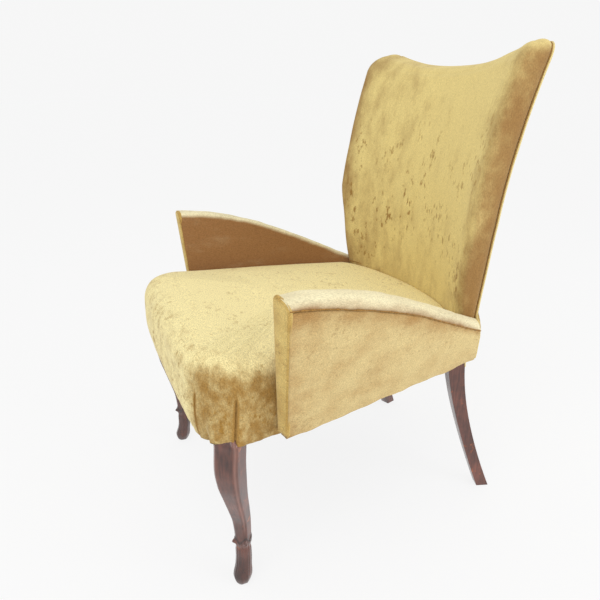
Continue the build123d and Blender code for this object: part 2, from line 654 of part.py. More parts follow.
def arm_spacers():
    """Blocks between the side rail and the arm board, with a screw through each."""
    high = RAIL_TOP - SPACER_EDGE
    spacers, holes, screws = [], [], []
    for front in (SPACER_FRONT, SPACER_REAR):
        rear = front + SPACER_LENGTH
        low = arm_bottom(rear) + SPACER_EDGE
        def ring(z):
            return Wire.make_polygon([(rail_outer(front), front, z), (board_inner(front, z), front, z),
                                      (board_inner(rear, z), rear, z), (rail_outer(rear), rear, z)])
        spacers.append(Solid.make_loft([ring(low), ring(high)], True))
        y = (front + rear) / 2
        start = Vector(rail_inner(y), y, (low + high) / 2)
        screws.append(screw(start, (1, -RAIL_SLOPE, 0), ARM_SCREW_LENGTH))
        holes.append(screw(start, (1, -RAIL_SLOPE, 0), ARM_SCREW_LENGTH, HOLE_ROOM))
    return spacers, holes, screws


def build_arms(arm_holes):
    """Board, padding and covers of the arms, trimmed by the outside of the back."""
    drop = ARM_SEAM_DROP + FIT

    def low(y):
        return arm_bottom(y) + FIT

    def tuck(y):
        return min(WEB_TOP, arm_top(y) - drop - FIT)

    def lining(y, z):
        return arm_inner(y, z) + ARM_INNER_DEPTH

    def padding(y, z):
        return lining(y, z) + FIT

    def clear(y, z):
        return board_inner(y, z) - FIT

    board = arm_plain(board_inner, arm_depth(BOARD_FACE), low, drop)
    wadding = arm_plain(arm_depth(BOARD_FACE - FIT), arm_depth(WADDING_FACE), low, drop)
    outside = arm_plain(arm_depth(COVER), arm_outer, arm_bottom, drop)
    pad = arm_plain(padding, clear, tuck, drop)
    hollow = arm_plain(lining, lambda y, z: FAR, lambda y: 0, ARM_SEAM_DROP, ARM_FRONT - FIT)
    form = arm_form()
    below = block(0, FAR, ARM_FRONT - FIT, FAR, 0, WEB_TOP)
    back = turned(back_line(front_radius, -FIT), back_line(rear_radius, CLEAR)) & shield(-FIT)
    ends = behind_back(COVER + FIT) + before_arm(COVER + FIT)

    add_pair("arm_board", cut(board - ends, arm_holes))
    add_pair("arm_outer_wadding", solid(wadding - ends))
    add_pair("arm_outside_cover", solid(outside - ends))
    add_pair("arm_inside_cover", solid(form - hollow - below - ends - back))
    add_pair("arm_pad", solid(pad - ends - back))
    add_pair("arm_facing", solid((form - before_arm(0)) & before_arm(COVER)))
    return form


def build_seat():
    """Webbing, hessian, stuffing, cover and dust cover of the seat."""
    edge = CLOTH_EDGE
    front = FRONT_POST_Y + FRONT_POST / 2 + STRAP_WIDTH / 2
    rear = RAIL_REAR.Y - STRAP_WIDTH
    across = []
    for k in range(SEAT_STRAPS_ACROSS):
        y = front + (rear - front) * k / (SEAT_STRAPS_ACROSS - 1)
        y0, y1 = y - STRAP_WIDTH / 2, y + STRAP_WIDTH / 2
        x0, x1 = rail_outer(y0) - edge, rail_outer(y1) - edge
        across.append(prism([(-x0, y0), (x0, y0), (x1, y1), (-x1, y1)], RAIL_TOP, RAIL_TOP + STRAP_THICK))
    add("seat_webbing_across", Compound(across))

    face = FRONT_POST_Y - FRONT_POST / 2 + edge
    radius = rear_radius(RAIL_TOP) - COVER - FRAME_GAP - edge
    along = []
    for k in range(SEAT_STRAPS_LONG):
        x = (k - (SEAT_STRAPS_LONG - 1) / 2) * SEAT_STRAP_LONG_STEP
        x0, x1 = x - STRAP_WIDTH / 2, x + STRAP_WIDTH / 2
        end = BACK_AXIS + sqrt(radius ** 2 - max(abs(x0), abs(x1)) ** 2)
        along.append(block(x0, x1, face, end, RAIL_TOP + STRAP_THICK, WEB_TOP))
    add("seat_webbing_long", Compound(along))

    half = FRONT_POST_X - FRONT_POST / 2
    rear_corner = post_point(POST_FRONT_RADIUS - edge, -POST_WIDTH / 2)
    rear_y = BACK_AXIS + sqrt(radius ** 2 - rear_corner.X ** 2)
    sheet = [(half, face), (rail_outer(RAIL_FRONT) - edge, RAIL_FRONT),
             (rail_outer(rear_corner.Y) - edge, rear_corner.Y), (rear_corner.X - edge, rear_corner.Y),
             (rear_corner.X - edge, rear_y)]
    plan = sheet + [(-x, y) for x, y in reversed(sheet)]
    add("seat_hessian", prism(plan, WEB_TOP + FIT / 2, WEB_TOP + FIT / 2 + HESSIAN))

    seat_end = BACK_AXIS + sqrt((BACK_INSIDE_RADIUS - edge) ** 2 - RAIL_REAR.X ** 2)
    padded = [(half, face), (rail_outer(RAIL_FRONT) - edge, RAIL_FRONT),
              (rail_outer(seat_end) - edge, seat_end)]
    plan = padded + [(-x, y) for x, y in reversed(padded)]
    stuffing = prism(plan, PAD_FLOOR, STUFFING_TOP)
    add("seat_stuffing", stuffing)

    side = FRONT_POST_X + FRONT_POST / 2 + FIT
    chamfer = FRONT_POST_CHAMFER
    face_room = FRONT_POST_Y - FRONT_POST / 2 - FRONT_RAIL_BOW - FIT
    room = [(side - chamfer, face_room), (side, FRONT_POST_Y - FRONT_POST / 2 + chamfer), (side, FAR)]
    frame_room = prism(room + [(-x, y) for x, y in reversed(room)], 0, PAD_FLOOR - FIT)
    stuffing_room = prism([(x + FIT * x / abs(x), y + FIT * y / abs(y)) for x, y in plan], PAD_FLOOR - FIT,
                          STUFFING_TOP + FIT)
    beside = block(-FAR, FAR, ARM_FRONT + ARM_FRONT_LEAN + COVER, FAR, 0, PAD_FLOOR - FIT)
    add("seat_cover", solid(seat_body() - frame_room - stuffing_room - beside))

    notch = FRONT_POST_X - FRONT_POST / 2 - edge
    low = SEAT_BOTTOM - FIT / 2
    notch_y, rear_notch = RAIL_FRONT + edge, rear_corner.Y - edge
    under = [(notch, face), (notch, notch_y), (rail_outer(notch_y) - edge, notch_y),
             (rail_outer(rear_corner.Y) - edge, rear_notch), (rear_corner.X - edge, rear_notch),
             (rear_corner.X - edge, rear_y)]
    plan = under + [(-x, y) for x, y in reversed(under)]
    add("dust_cover", prism(plan, low - HESSIAN, low))


def build_back(arm):
    """Webbing, hessian, padding and covers of the back."""
    frame = COVER + FRAME_GAP + STILE_THICK
    bottom = LOWER_RAIL_BOTTOM
    first = rear_layer(frame + FIT / 4, frame + FIT / 4 + STRAP_THICK)
    second = rear_layer(frame + FIT / 2 + STRAP_THICK, frame + FIT / 2 + 2 * STRAP_THICK)
    outline = shield(FRAME_INSET + FIT)
    crest = CREST_BOTTOM + STRAP_WIDTH / 2
    ups = []
    for k in range(BACK_STRAPS_UP):
        x = (k - (BACK_STRAPS_UP - 1) / 2) * BACK_STRAP_UP_STEP
        strip = block(x - STRAP_WIDTH / 2, x + STRAP_WIDTH / 2, 0, FAR, bottom, crest)
        ups.append(solid(first & strip))
    add("back_webbing_upright", Compound(ups))
    acrosses = []
    low, high = bottom + LOWER_RAIL_HEIGHT + STRAP_WIDTH, CREST_BOTTOM - STRAP_WIDTH
    for k in range(BACK_STRAPS_ACROSS):
        z = low + (high - low) * k / (BACK_STRAPS_ACROSS - 1)
        strip = block(-FAR, FAR, 0, FAR, z - STRAP_WIDTH / 2, z + STRAP_WIDTH / 2)
        acrosses.append(solid(second & strip & outline))
    add("back_webbing_across", Compound(acrosses))
    start = frame + FIT + 2 * STRAP_THICK
    hessian = rear_layer(start, start + HESSIAN) & outline & slab_between(bottom, FAR)
    add("back_hessian", solid(hessian))

    core = rear_layer(0, start + HESSIAN + FIT) & shield(FRAME_INSET - FIT)
    hollow = back_block(BACK_COVER_DEPTH, -CLEAR)
    pad = back_block(BACK_COVER_DEPTH + FIT, COVER + FIT) & slab_between(PAD_FLOOR, FAR)
    add("back_pad", solid(pad - core))
    add("inside_back_cover", solid(back_form(COVER + FIT) - hollow))

    skin = rear_layer(0, COVER)
    panel = skin & shield(0)
    for arm in both(arm):
        panel = panel + (skin & arm)
    for corner in both(beside_post() & slab_between(0, ARM_BOTTOM_REAR)):
        panel = panel - corner
    add("outside_back_cover", solid(panel))


arm_holes = build_frame()
arm = build_arms(arm_holes)
build_seat()
build_back(arm)

os.makedirs("parts", exist_ok=True)
for name, shape in PARTS.items():
    export_step(shape.translate((0, -MIDDLE, 0)), f"parts/{name}.step")
print(len(PARTS), "nodes written")
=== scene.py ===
import bmesh
import bpy
import numpy as np
from mathutils import Matrix, Vector

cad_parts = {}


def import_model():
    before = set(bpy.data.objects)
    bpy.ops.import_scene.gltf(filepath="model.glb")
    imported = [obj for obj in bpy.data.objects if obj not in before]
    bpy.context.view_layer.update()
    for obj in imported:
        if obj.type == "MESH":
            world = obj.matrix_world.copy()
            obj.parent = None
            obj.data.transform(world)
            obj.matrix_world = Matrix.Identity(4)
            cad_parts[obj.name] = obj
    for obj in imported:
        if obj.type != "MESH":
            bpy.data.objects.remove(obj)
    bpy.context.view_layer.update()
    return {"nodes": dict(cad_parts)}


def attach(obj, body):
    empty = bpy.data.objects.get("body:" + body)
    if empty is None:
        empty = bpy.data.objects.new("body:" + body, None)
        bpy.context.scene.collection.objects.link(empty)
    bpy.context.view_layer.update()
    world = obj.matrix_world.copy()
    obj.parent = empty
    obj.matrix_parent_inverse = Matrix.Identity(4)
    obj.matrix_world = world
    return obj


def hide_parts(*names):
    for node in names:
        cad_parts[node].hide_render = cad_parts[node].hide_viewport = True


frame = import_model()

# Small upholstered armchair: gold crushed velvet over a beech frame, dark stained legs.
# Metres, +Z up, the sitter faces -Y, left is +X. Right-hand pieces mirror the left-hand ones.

# Sizes shared with the frame
MIDDLE = 0.0026465  # the frame's own shift along Y
SEAT_FRONT = -0.315 - MIDDLE
SEAT_REAR = 0.250 - MIDDLE
SEAT_HALF = (0.268, 0.226)  # half width at the front corners and at the rear
SEAT_CORNERS = (0.084, 0.10)  # radii of the corners in plan, front and rear
SEAT_BOW = 0.006  # how far the front bows out in plan
SEAT_BOTTOM = 0.272
SEAT_FULLEST = 0.0727  # height of the fullest part above the hem
SEAT_EDGE = 0.409
SEAT_ROLL = 0.036
SEAT_FALL = np.tan(np.radians(2.6))
CLEARANCE = 0.0012  # between the seat and what it is tucked in beside
LEG = (0.229, -0.250 - MIDDLE)  # axis of the left front leg
RAIL = (0.2430, -0.230, 0.1834)  # side rail: half width at a depth, and its taper
PAD_FLOOR = 0.341  # lower edge of the inside back and the inside arms
PAD_CORNER = (0.1722, 0.036)  # lower corner of the inside back: centre from the middle, and radius
AXIS_Y = -0.270 - MIDDLE  # upright axis that the back curves about
BACK_OUTSIDE = (0.515, 0.360, 1.335)  # radius, level where it stands upright, and radius of its sweep
BACK_INSIDE = (0.476, 0.450, 1.105)
BACK_ROLL = 0.020  # radius of the rolled edge of the inside back
BACK_SEAM = 0.0060  # from the outside of the back forward to the seam
HORN = (0.21177, 0.80747)  # centre of a horn's ball, from the middle and up
HORN_RADIUS = 0.024
HOLLOW = (0.8015, 0.0285, 0.2044, 2.4)  # top edge: lowest level, rise, half width and power
ARM_FRONT = -0.202 - MIDDLE
ARM_REAR = 0.240 - MIDDLE
ARM_END = 0.188 - MIDDLE  # where the arm's cloth meets the outside of the back
ARM_TOP = (0.517, 0.366)  # front and rear heights
ARM_BOTTOM = (0.288, 0.322)
ARM_INNER = (0.257, 0.139)  # inner face: its front foot, and how far it leans out as it rises
ARM_OUTER = (0.286, 0.239)
ARM_LEAN = 0.018  # how far the front draws back at its foot
SPLAY = 0.162  # how far the arms draw in towards the back


# Making meshes

def ripples(points, size, seed, count=24):
    """Sum of seeded sine waves of about one wavelength in all directions, from about -1 to 1."""
    rng = np.random.RandomState(seed)
    ways = rng.normal(size=(count, 3))
    ways /= np.linalg.norm(ways, axis=1)[:, None]
    waves = ways * (2 * np.pi / size * rng.uniform(0.6, 1.6, (count, 1)))
    return np.sin(points @ waves.T + rng.uniform(0, 2 * np.pi, count)).sum(-1) / np.sqrt(count)


def step(value, low, high):
    """Smooth step from 0 at low to 1 at high."""
    t = np.clip((value - low) / (high - low), 0, 1)
    return t * t * (3 - 2 * t)


def even(line, count, closed=False):
    """The same polyline with points at equal distances along it."""
    line = np.asarray(line, float)
    if closed:
        line = np.vstack([line, line[:1]])
    run = np.concatenate([[0], np.cumsum(np.linalg.norm(np.diff(line, axis=0), axis=1))])
    at = np.linspace(0, run[-1], count, endpoint=not closed)
    return np.stack([np.interp(at, run, line[:, k]) for k in range(line.shape[1])], axis=1)


def outward(loop):
    """Unit normals of a closed plan loop that runs anticlockwise, pointing out of it."""
    run = np.roll(loop, -1, axis=0) - np.roll(loop, 1, axis=0)
    normal = np.stack([run[:, 1], -run[:, 0]], axis=1)
    return normal / np.linalg.norm(normal, axis=1)[:, None]


def surface(name, grid, material, caps=(True, True), attributes=None):
    """Mesh of a grid of points (rows, columns, 3), its columns closed to a ring and its ends capped if asked."""
    rows, columns = grid.shape[:2]
    index = np.arange(rows * columns).reshape(rows, columns)
    beside = np.roll(index, -1, axis=1)
    quads = np.stack([index[:-1], beside[:-1], beside[1:], index[1:]], axis=-1).reshape(-1, 4)
    points, faces = grid.reshape(-1, 3), quads.tolist()
    for cap, row in zip(caps, (0, rows - 1)):
        if cap:
            points = np.vstack([points, grid[row].mean(axis=0)])
            ring = index[row]
            tip = np.full(columns, len(points) - 1)
            faces += np.stack([ring, np.roll(ring, -1), tip], axis=1).tolist()
    mesh = bpy.data.meshes.new(name)
    mesh.from_pydata(points.tolist(), [], faces)
    for key, values in (attributes or {}).items():
        flat = np.asarray(values, float).reshape(-1)
        flat = np.concatenate([flat, np.full(len(points) - len(flat), flat[-1])])
        mesh.attributes.new(key, "FLOAT", "POINT").data.foreach_set("value", flat.astype(np.float32))
    shell = bmesh.new()
    shell.from_mesh(mesh)
    bmesh.ops.recalc_face_normals(shell, faces=shell.faces)
    shell.to_mesh(mesh)
    shell.free()
    mesh.shade_smooth()
    mesh.materials.append(material)
    piece = bpy.data.objects.new(name, mesh)
    bpy.context.scene.collection.objects.link(piece)
    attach(piece, "root")
    return piece


def mirrored(grid):
    """The mirror image of points in the plane x = 0."""
    return grid * np.array([-1, 1, 1])


def tube(name, path, radius, material, sides=8):
    """Round thread along a path: a circle carried along it, square to its run."""
    path = np.asarray(path, float)
    run = np.gradient(path, axis=0)
    run /= np.linalg.norm(run, axis=1)[:, None]
    side = np.cross(run, [0.31, 0.52, 0.79])
    side /= np.linalg.norm(side, axis=1)[:, None]
    up = np.cross(run, side)
    turn = np.linspace(0, 2 * np.pi, sides, endpoint=False)
    ring = side[:, None] * np.cos(turn)[None, :, None] + up[:, None] * np.sin(turn)[None, :, None]
    size = np.broadcast_to(np.asarray(radius, float), len(path))
    return surface(name, path[:, None] + ring * size[:, None, None], material)


# Materials

def linear(text):
    """Linear colour of an sRGB hex value."""
    value = np.array([int(text[k:k + 2], 16) / 255 for k in (1, 3, 5)])
    value = np.where(value <= 0.04045, value / 12.92, ((value + 0.055) / 1.055) ** 2.4)
    return (*value.tolist(), 1.0)


def node(tree, kind, inputs=None, **settings):
    """Adds a node with its settings; an input is a value, or the socket it is linked to."""
    made = tree.nodes.new(kind)
    for key, value in settings.items():
        setattr(made, key, value)
    for key, value in (inputs or {}).items():
        if isinstance(value, bpy.types.NodeSocket):
            tree.links.new(value, made.inputs[key])
        else:
            made.inputs[key].default_value = value
    return made


def new_material(name, **constants):
    """A material with its shader's constant sockets set, and its node tree and shader."""
    material = bpy.data.materials.new(name)
    material.use_nodes = True
    tree = material.node_tree
    shader = tree.nodes["Principled BSDF"]
    for key, value in constants.items():
        shader.inputs[key.replace("_", " ")].default_value = value
    return material, tree, shader


def crushed_velvet(name, pile, pressed, fleck, brush, flecks, grain, patch=0.05, mark=0.006,
                   stray_by=0.2, tuft=0.0016, cluster=0.07):
    """Crushed velvet: short pile, pale for painted sheen and brown for painted shade.

    The colours pile and pressed are the painted sheen and the painted shade. The piece's attribute of painted sheen and
    shade runs from 0, painted sheen, to 1, painted shade. Its crush attribute runs from 0 to 1 between the two
    strengths in flecks, those of the crushed marks. Brush stretches all marks along an axis. Patch, mark, tuft and
    cluster are sizes in metres.
    """
    material, tree, shader = new_material(name, Roughness=0.9, Sheen_Weight=0.25, Sheen_Roughness=0.4,
                                          Sheen_Tint=linear("#FFF3CF"), Specular_IOR_Level=0.15)
    place = node(tree, "ShaderNodeTexCoord").outputs["Object"]
    brushed = node(tree, "ShaderNodeMapping", {"Vector": place, "Scale": brush}).outputs["Vector"]
    sheen_and_shade = node(tree, "ShaderNodeAttribute", attribute_name="sheen_and_shade").outputs["Fac"]
    # Patches of a few centimetres where the pile was stroked another way; they fray the edge of the painted shade
    patches = node(tree, "ShaderNodeTexNoise", {"Vector": brushed, "Scale": 1 / patch, "Detail": 6.0,
                                                 "Roughness": 0.62})
    stray = node(tree, "ShaderNodeMapRange", {"Value": patches.outputs["Fac"], "From Min": 0.3, "From Max": 0.7,
                                              "To Min": -stray_by, "To Max": stray_by}, clamp=True)
    # Depth of the painted shade, frayed by the patches
    lean = node(tree, "ShaderNodeMath", {0: sheen_and_shade, 1: stray.outputs["Result"]}, operation="ADD")
    soft = node(tree, "ShaderNodeMapRange", {"Value": lean.outputs[0], "From Min": -0.1, "From Max": 1.0},
                interpolation_type="SMOOTHSTEP")
    ground = node(tree, "ShaderNodeMix", {"Factor": soft.outputs["Result"], "A": linear(pile), "B": linear(pressed)},
                  data_type="RGBA")
    # Crushed marks a few millimetres long that gather in clusters
    crush = node(tree, "ShaderNodeTexNoise", {"Vector": brushed, "Scale": 1 / mark, "Detail": 2.5, "Roughness": 0.6})
    clump = node(tree, "ShaderNodeTexNoise", {"Vector": brushed, "Scale": 1 / cluster, "Detail": 3.0})
    dense = node(tree, "ShaderNodeMapRange", {"Value": clump.outputs["Fac"], "From Min": 0.38, "From Max": 0.66,
                                              "To Min": 0.68, "To Max": 0.53})
    over = node(tree, "ShaderNodeMath", {0: crush.outputs["Fac"], 1: dense.outputs["Result"]}, operation="SUBTRACT")
    crushed = node(tree, "ShaderNodeAttribute", attribute_name="crush").outputs["Fac"]
    worn = node(tree, "ShaderNodeMapRange", {"Value": crushed, "To Min": flecks[0], "To Max": flecks[1]})
    dabs = node(tree, "ShaderNodeMapRange", {"Value": over.outputs[0], "From Min": -0.03, "From Max": 0.11},
                interpolation_type="SMOOTHSTEP")
    spots = node(tree, "ShaderNodeMath", {0: dabs.outputs["Result"], 1: worn.outputs["Result"]}, operation="MULTIPLY")
    marked = node(tree, "ShaderNodeMix", {"Factor": spots.outputs[0], "A": ground.outputs["Result"],
                                          "B": linear(fleck)}, data_type="RGBA")
    # Grain of the pile, drawn at about 2 mm, coarser than it is, so that it shows
    pile_grain = node(tree, "ShaderNodeTexNoise", {"Vector": brushed, "Scale": 1 / tuft, "Detail": 2.0,
                                                    "Roughness": 0.7})
    shade = node(tree, "ShaderNodeMapRange", {"Value": pile_grain.outputs["Fac"], "From Min": 0.3, "From Max": 0.7,
                                              "To Min": 1.0 - 1.6 * grain, "To Max": 1.0 + grain})
    tinted = node(tree, "ShaderNodeMix", {"Factor": 1.0, "A": marked.outputs["Result"], "B": shade.outputs["Result"]},
                  data_type="RGBA", blend_type="MULTIPLY")
    tree.links.new(tinted.outputs["Result"], shader.inputs["Base Color"])
    bump = node(tree, "ShaderNodeBump", {"Height": pile_grain.outputs["Fac"], "Strength": 0.25, "Distance": 0.0006})
    tree.links.new(bump.outputs["Normal"], shader.inputs["Normal"])
    return material


def stained_wood(name, dark, warm, worn, wear):
    """Stained and polished hardwood: fine grain along the leg, warm where the stain is rubbed thin."""
    material, tree, shader = new_material(name, Roughness=0.4, Coat_Weight=0.75, Coat_Roughness=0.22)
    place = node(tree, "ShaderNodeTexCoord").outputs["Object"]
    along = node(tree, "ShaderNodeMapping", {"Vector": place, "Scale": (1.0, 1.0, 0.08)}).outputs["Vector"]
    grain = node(tree, "ShaderNodeTexNoise", {"Vector": along, "Scale": 1 / 0.0035, "Detail": 5.0, "Roughness": 0.65})
    cloud = node(tree, "ShaderNodeTexNoise", {"Vector": place, "Scale": 1 / 0.035, "Detail": 3.0})
    rub = node(tree, "ShaderNodeTexNoise", {"Vector": place, "Scale": 1 / 0.022, "Detail": 4.0, "Roughness": 0.7})
    tone = node(tree, "ShaderNodeMath", {0: grain.outputs["Fac"], 1: cloud.outputs["Fac"], 2: 0.18},
                operation="MULTIPLY_ADD")
    shade = node(tree, "ShaderNodeMapRange", {"Value": tone.outputs[0], "From Min": 0.3, "From Max": 0.62})
    ground = node(tree, "ShaderNodeMix", {"Factor": shade.outputs["Result"], "A": linear(dark), "B": linear(warm)},
                  data_type="RGBA")
    thin = node(tree, "ShaderNodeMapRange", {"Value": rub.outputs["Fac"], "From Min": 0.62, "From Max": 0.72,
                                             "To Max": wear})
    mixed = node(tree, "ShaderNodeMix", {"Factor": thin.outputs["Result"], "A": ground.outputs["Result"],
                                         "B": linear(worn)}, data_type="RGBA")
    # The worn attribute is above 0 on the leg's edges, lighter partly as stain worn thin and partly as painted
    # highlight. Below 0 it darkens: painted shade at the rim of the hoof's cuff, and darker towards the foot.
    rubbed = node(tree, "ShaderNodeAttribute", attribute_name="worn").outputs["Fac"]
    edge_wear_and_highlight = node(tree, "ShaderNodeMapRange", {"Value": rubbed})
    painted_shade_and_dark_foot = node(tree, "ShaderNodeMapRange", {"Value": rubbed, "From Max": -1.0})
    pale = node(tree, "ShaderNodeMix", {"Factor": edge_wear_and_highlight.outputs["Result"], "A": mixed.outputs["Result"],
                                        "B": linear("#A07466")}, data_type="RGBA")
    mixed = node(tree, "ShaderNodeMix", {"Factor": painted_shade_and_dark_foot.outputs["Result"], "A": pale.outputs["Result"],
                                         "B": linear("#1C0F0C")}, data_type="RGBA")
    tree.links.new(mixed.outputs["Result"], shader.inputs["Base Color"])
    bump = node(tree, "ShaderNodeBump", {"Height": grain.outputs["Fac"], "Strength": 0.15, "Distance": 0.0006})
    tree.links.new(bump.outputs["Normal"], shader.inputs["Normal"])
    return material


def woven(name, thread, gap, pitch):
    """Plain woven cloth: threads over and under at a pitch, darker in the gaps between them."""
    material, tree, shader = new_material(name, Roughness=0.85, Specular_IOR_Level=0.2)
    place = node(tree, "ShaderNodeTexCoord").outputs["Object"]
    scale = 1 / (pitch * 2)
    across = node(tree, "ShaderNodeTexWave", {"Vector": place, "Scale": scale, "Distortion": 1.0}, bands_direction="X")
    along = node(tree, "ShaderNodeTexWave", {"Vector": place, "Scale": scale, "Distortion": 1.0}, bands_direction="Y")
    weave = node(tree, "ShaderNodeMath", {0: across.outputs["Fac"], 1: along.outputs["Fac"]}, operation="MULTIPLY")
    colour = node(tree, "ShaderNodeMix", {"Factor": weave.outputs[0], "A": linear(gap), "B": linear(thread)},
                  data_type="RGBA")
    tree.links.new(colour.outputs["Result"], shader.inputs["Base Color"])
    bump = node(tree, "ShaderNodeBump", {"Height": weave.outputs[0], "Strength": 0.4, "Distance": 0.001})
    tree.links.new(bump.outputs["Normal"], shader.inputs["Normal"])
    return material


def planed_beech():
    """Planed beech: pale, even, with short dark flecks along the grain."""
    material, tree, shader = new_material("beech_planed", Roughness=0.6)
    place = node(tree, "ShaderNodeTexCoord").outputs["Object"]
    along = node(tree, "ShaderNodeMapping", {"Vector": place, "Scale": (0.2, 1.0, 1.0)}).outputs["Vector"]
    grain = node(tree, "ShaderNodeTexNoise", {"Vector": along, "Scale": 1 / 0.004, "Detail": 4.0})
    colour = node(tree, "ShaderNodeMix", {"Factor": grain.outputs["Fac"], "A": linear("#B98F62"),
                                          "B": linear("#D9B58A")}, data_type="RGBA")
    tree.links.new(colour.outputs["Result"], shader.inputs["Base Color"])
    return material


def screw_steel():
    """Bright drawn steel with faint marks of handling."""
    material, tree, shader = new_material("steel_screw", Metallic=1.0, Base_Color=linear("#9A9A9C"))
    place = node(tree, "ShaderNodeTexCoord").outputs["Object"]
    marks = node(tree, "ShaderNodeTexNoise", {"Vector": place, "Scale": 1 / 0.002, "Detail": 3.0})
    rough = node(tree, "ShaderNodeMapRange", {"Value": marks.outputs["Fac"], "To Min": 0.25, "To Max": 0.5})
    tree.links.new(rough.outputs["Result"], shader.inputs["Roughness"])
    return material


# Lit and shaded copies of one velvet: their colours differ from piece to piece as painted sheen and painted shade
VELVET_SEAT = crushed_velvet("velvet_seat", "#F7E8AC", "#A27D42", "#A07836", (1.0, 1.5, 1.0), (0.30, 0.75), 0.19,
                             patch=0.025, mark=0.011, stray_by=0.29, tuft=0.0025)
VELVET_BACK = crushed_velvet("velvet_back", "#E2CD88", "#977344", "#936C34", (1.6, 1.0, 0.8), (0.05, 0.85), 0.12,
                             mark=0.013, stray_by=0.29, tuft=0.0022)
VELVET_BACK_OUT = crushed_velvet("velvet_outside_back", "#DCC788", "#B08C52", "#9C783E", (1.6, 1.0, 0.8), (0.05, 0.6),
                                 0.12, mark=0.013, stray_by=0.25, tuft=0.0022)
VELVET_ARM_OUT = crushed_velvet("velvet_arm_outside", "#D4BE88", "#AC8550", "#8E6838", (1.0, 1.0, 1.3), (0.3, 0.8),
                                0.17, mark=0.007, stray_by=0.28, tuft=0.0020)
VELVET_ARM_IN = crushed_velvet("velvet_arm_inside", "#EDE3BC", "#956C44", "#6E4E2A", (1.0, 0.6, 1.6), (0.15, 0.7), 0.14,
                               tuft=0.0022)
VELVET_ARM_FRONT = crushed_velvet("velvet_arm_front", "#E0C67C", "#B28C48", "#80592A", (1.0, 1.0, 1.6), (0.5, 0.8), 0.2,
                                  mark=0.009, stray_by=0.3, tuft=0.0022)
SEAM = crushed_velvet("velvet_seam", "#9C743C", "#7A552A", "#5E3F1C", (1.0, 1.0, 1.0), (0.4, 0.4), 0.3, 0.02)
WALNUT = stained_wood("walnut_stained", "#381A12", "#7C4636", "#A8551F", 0.9)
BEECH = planed_beech()
STEEL = screw_steel()
JUTE = woven("jute_webbing", "#9A7C50", "#5C452A", 0.003)
HESSIAN = woven("hessian_cloth", "#B89A68", "#6B5434", 0.0022)
COTTON = woven("cotton_wadding", "#E8E2D4", "#CFC7B4", 0.004)
LINING = woven("black_lining", "#2B2826", "#151312", 0.0015)


# Stuffing

COARSE_ROWS = 46  # rows of the copy that is simulated
TICKS = 20  # steps of the simulation
SMOOTHING = 24  # passes that even the moves out


def spread(move, rows, columns, shape):
    """A field on a coarse part of a grid, carried to the whole grid in straight lines between its points."""
    at = np.interp(np.arange(shape[0]), rows, np.arange(len(rows)))
    over_rows = np.maximum(0, 1 - np.abs(at[:, None] - np.arange(len(rows))))
    gap = np.abs(np.arange(shape[1])[:, None] / columns[1] - np.arange(len(columns)))
    over_columns = np.maximum(0, 1 - np.minimum(gap, len(columns) - gap))
    return np.einsum("ri,cj,ijk->rck", over_rows, over_columns, move)


def stuffed(grid, held, pressure, cap, every=5):
    """A closed cover pressed outwards by its stuffing: Blender's cloth on a coarse copy of the grid, without gravity.

    Points move less the more they are held, from 0 to 1, and none moves further than cap. The moves are evened out
    among neighbours, because the padding under a tight cover lets no small wrinkle stand.
    """
    rows = np.unique(np.linspace(0, len(grid) - 1, COARSE_ROWS).round().astype(int))
    columns = np.arange(0, grid.shape[1], every)
    coarse = grid[np.ix_(rows, columns)]
    trial = surface("stuffing_trial", coarse, SEAM)
    # The last two are the middles of the caps: the first is held and the other is free
    grip = np.round(np.append(held[np.ix_(rows, columns)].reshape(-1), [1.0, 0.0]), 1)
    group = trial.vertex_groups.new(name="held")
    for level in np.unique(grip[grip > 0]):
        group.add(np.flatnonzero(grip == level).tolist(), float(level), "REPLACE")
    cloth = trial.modifiers.new("cloth", "CLOTH")
    cloth.settings.vertex_group_mass = "held"
    cloth.settings.use_pressure = True
    cloth.settings.uniform_pressure_force = pressure
    cloth.settings.effector_weights.gravity = 0
    for tick in range(1, TICKS + 1):
        bpy.context.scene.frame_set(tick)
    solved = trial.evaluated_get(bpy.context.evaluated_depsgraph_get()).to_mesh()
    after = np.empty(len(solved.vertices) * 3)
    solved.vertices.foreach_get("co", after)
    move = after[:coarse.size].reshape(coarse.shape) - coarse
    length = np.linalg.norm(move, axis=-1, keepdims=True)
    move = move * np.minimum(1, cap / np.maximum(length, 1e-9))
    for _ in range(SMOOTHING):
        move = (np.roll(move, 1, axis=1) + move + np.roll(move, -1, axis=1)) / 3
        tall = np.concatenate([move[:1], move, move[-1:]])
        move = (tall[:-2] + move + tall[2:]) / 3
    bpy.data.objects.remove(trial)
    bpy.context.scene.frame_set(1)
    return grid + spread(move * (1 - held[np.ix_(rows, columns)])[..., None] ** 0.5, rows, columns, grid.shape)


# Lines of the back

def swept(upright, level, curve, z):
    """Radius of a line that stands upright at one level and curves back above and below it."""
    return upright + curve - np.sqrt(curve ** 2 - (z - level) ** 2)


def rear_radius(z):
    """Outside of the back, with the fullness of the cloth over its lower half."""
    return swept(*BACK_OUTSIDE, z) + 0.0042 * np.exp(-((z - 0.465) / 0.09) ** 2)


def front_radius(z):
    """Front of the back, which leans back at the top."""
    return swept(*BACK_INSIDE, z) + np.maximum(0, z - 0.802) / 0.048 * 0.010


def on_back(radius, x):
    """Depth of the point of a curved layer of the back at a distance from the middle."""
    return AXIS_Y + np.sqrt(radius ** 2 - x ** 2)


def back_half(z):
    """Half width of the back: straight lines from its foot to the hip and on to the horns."""
    return np.interp(z, [0.272, 0.560, 0.840], [0.194, 0.234, 0.236])


def top_edge():
    """Top edge from the left horn to the middle: a ball of 24 mm, then a hollow that rises as a power of 2.4."""
    low, rise, half, power = HOLLOW
    turn = np.linspace(0, np.radians(108), 24)
    horn = np.array(HORN) + HORN_RADIUS * np.stack([np.cos(turn), np.sin(turn)], axis=1)
    x = np.linspace(0.2025, 0, 40)
    return np.vstack([horn, np.stack([x, low + rise * (x / half) ** power], axis=1)])


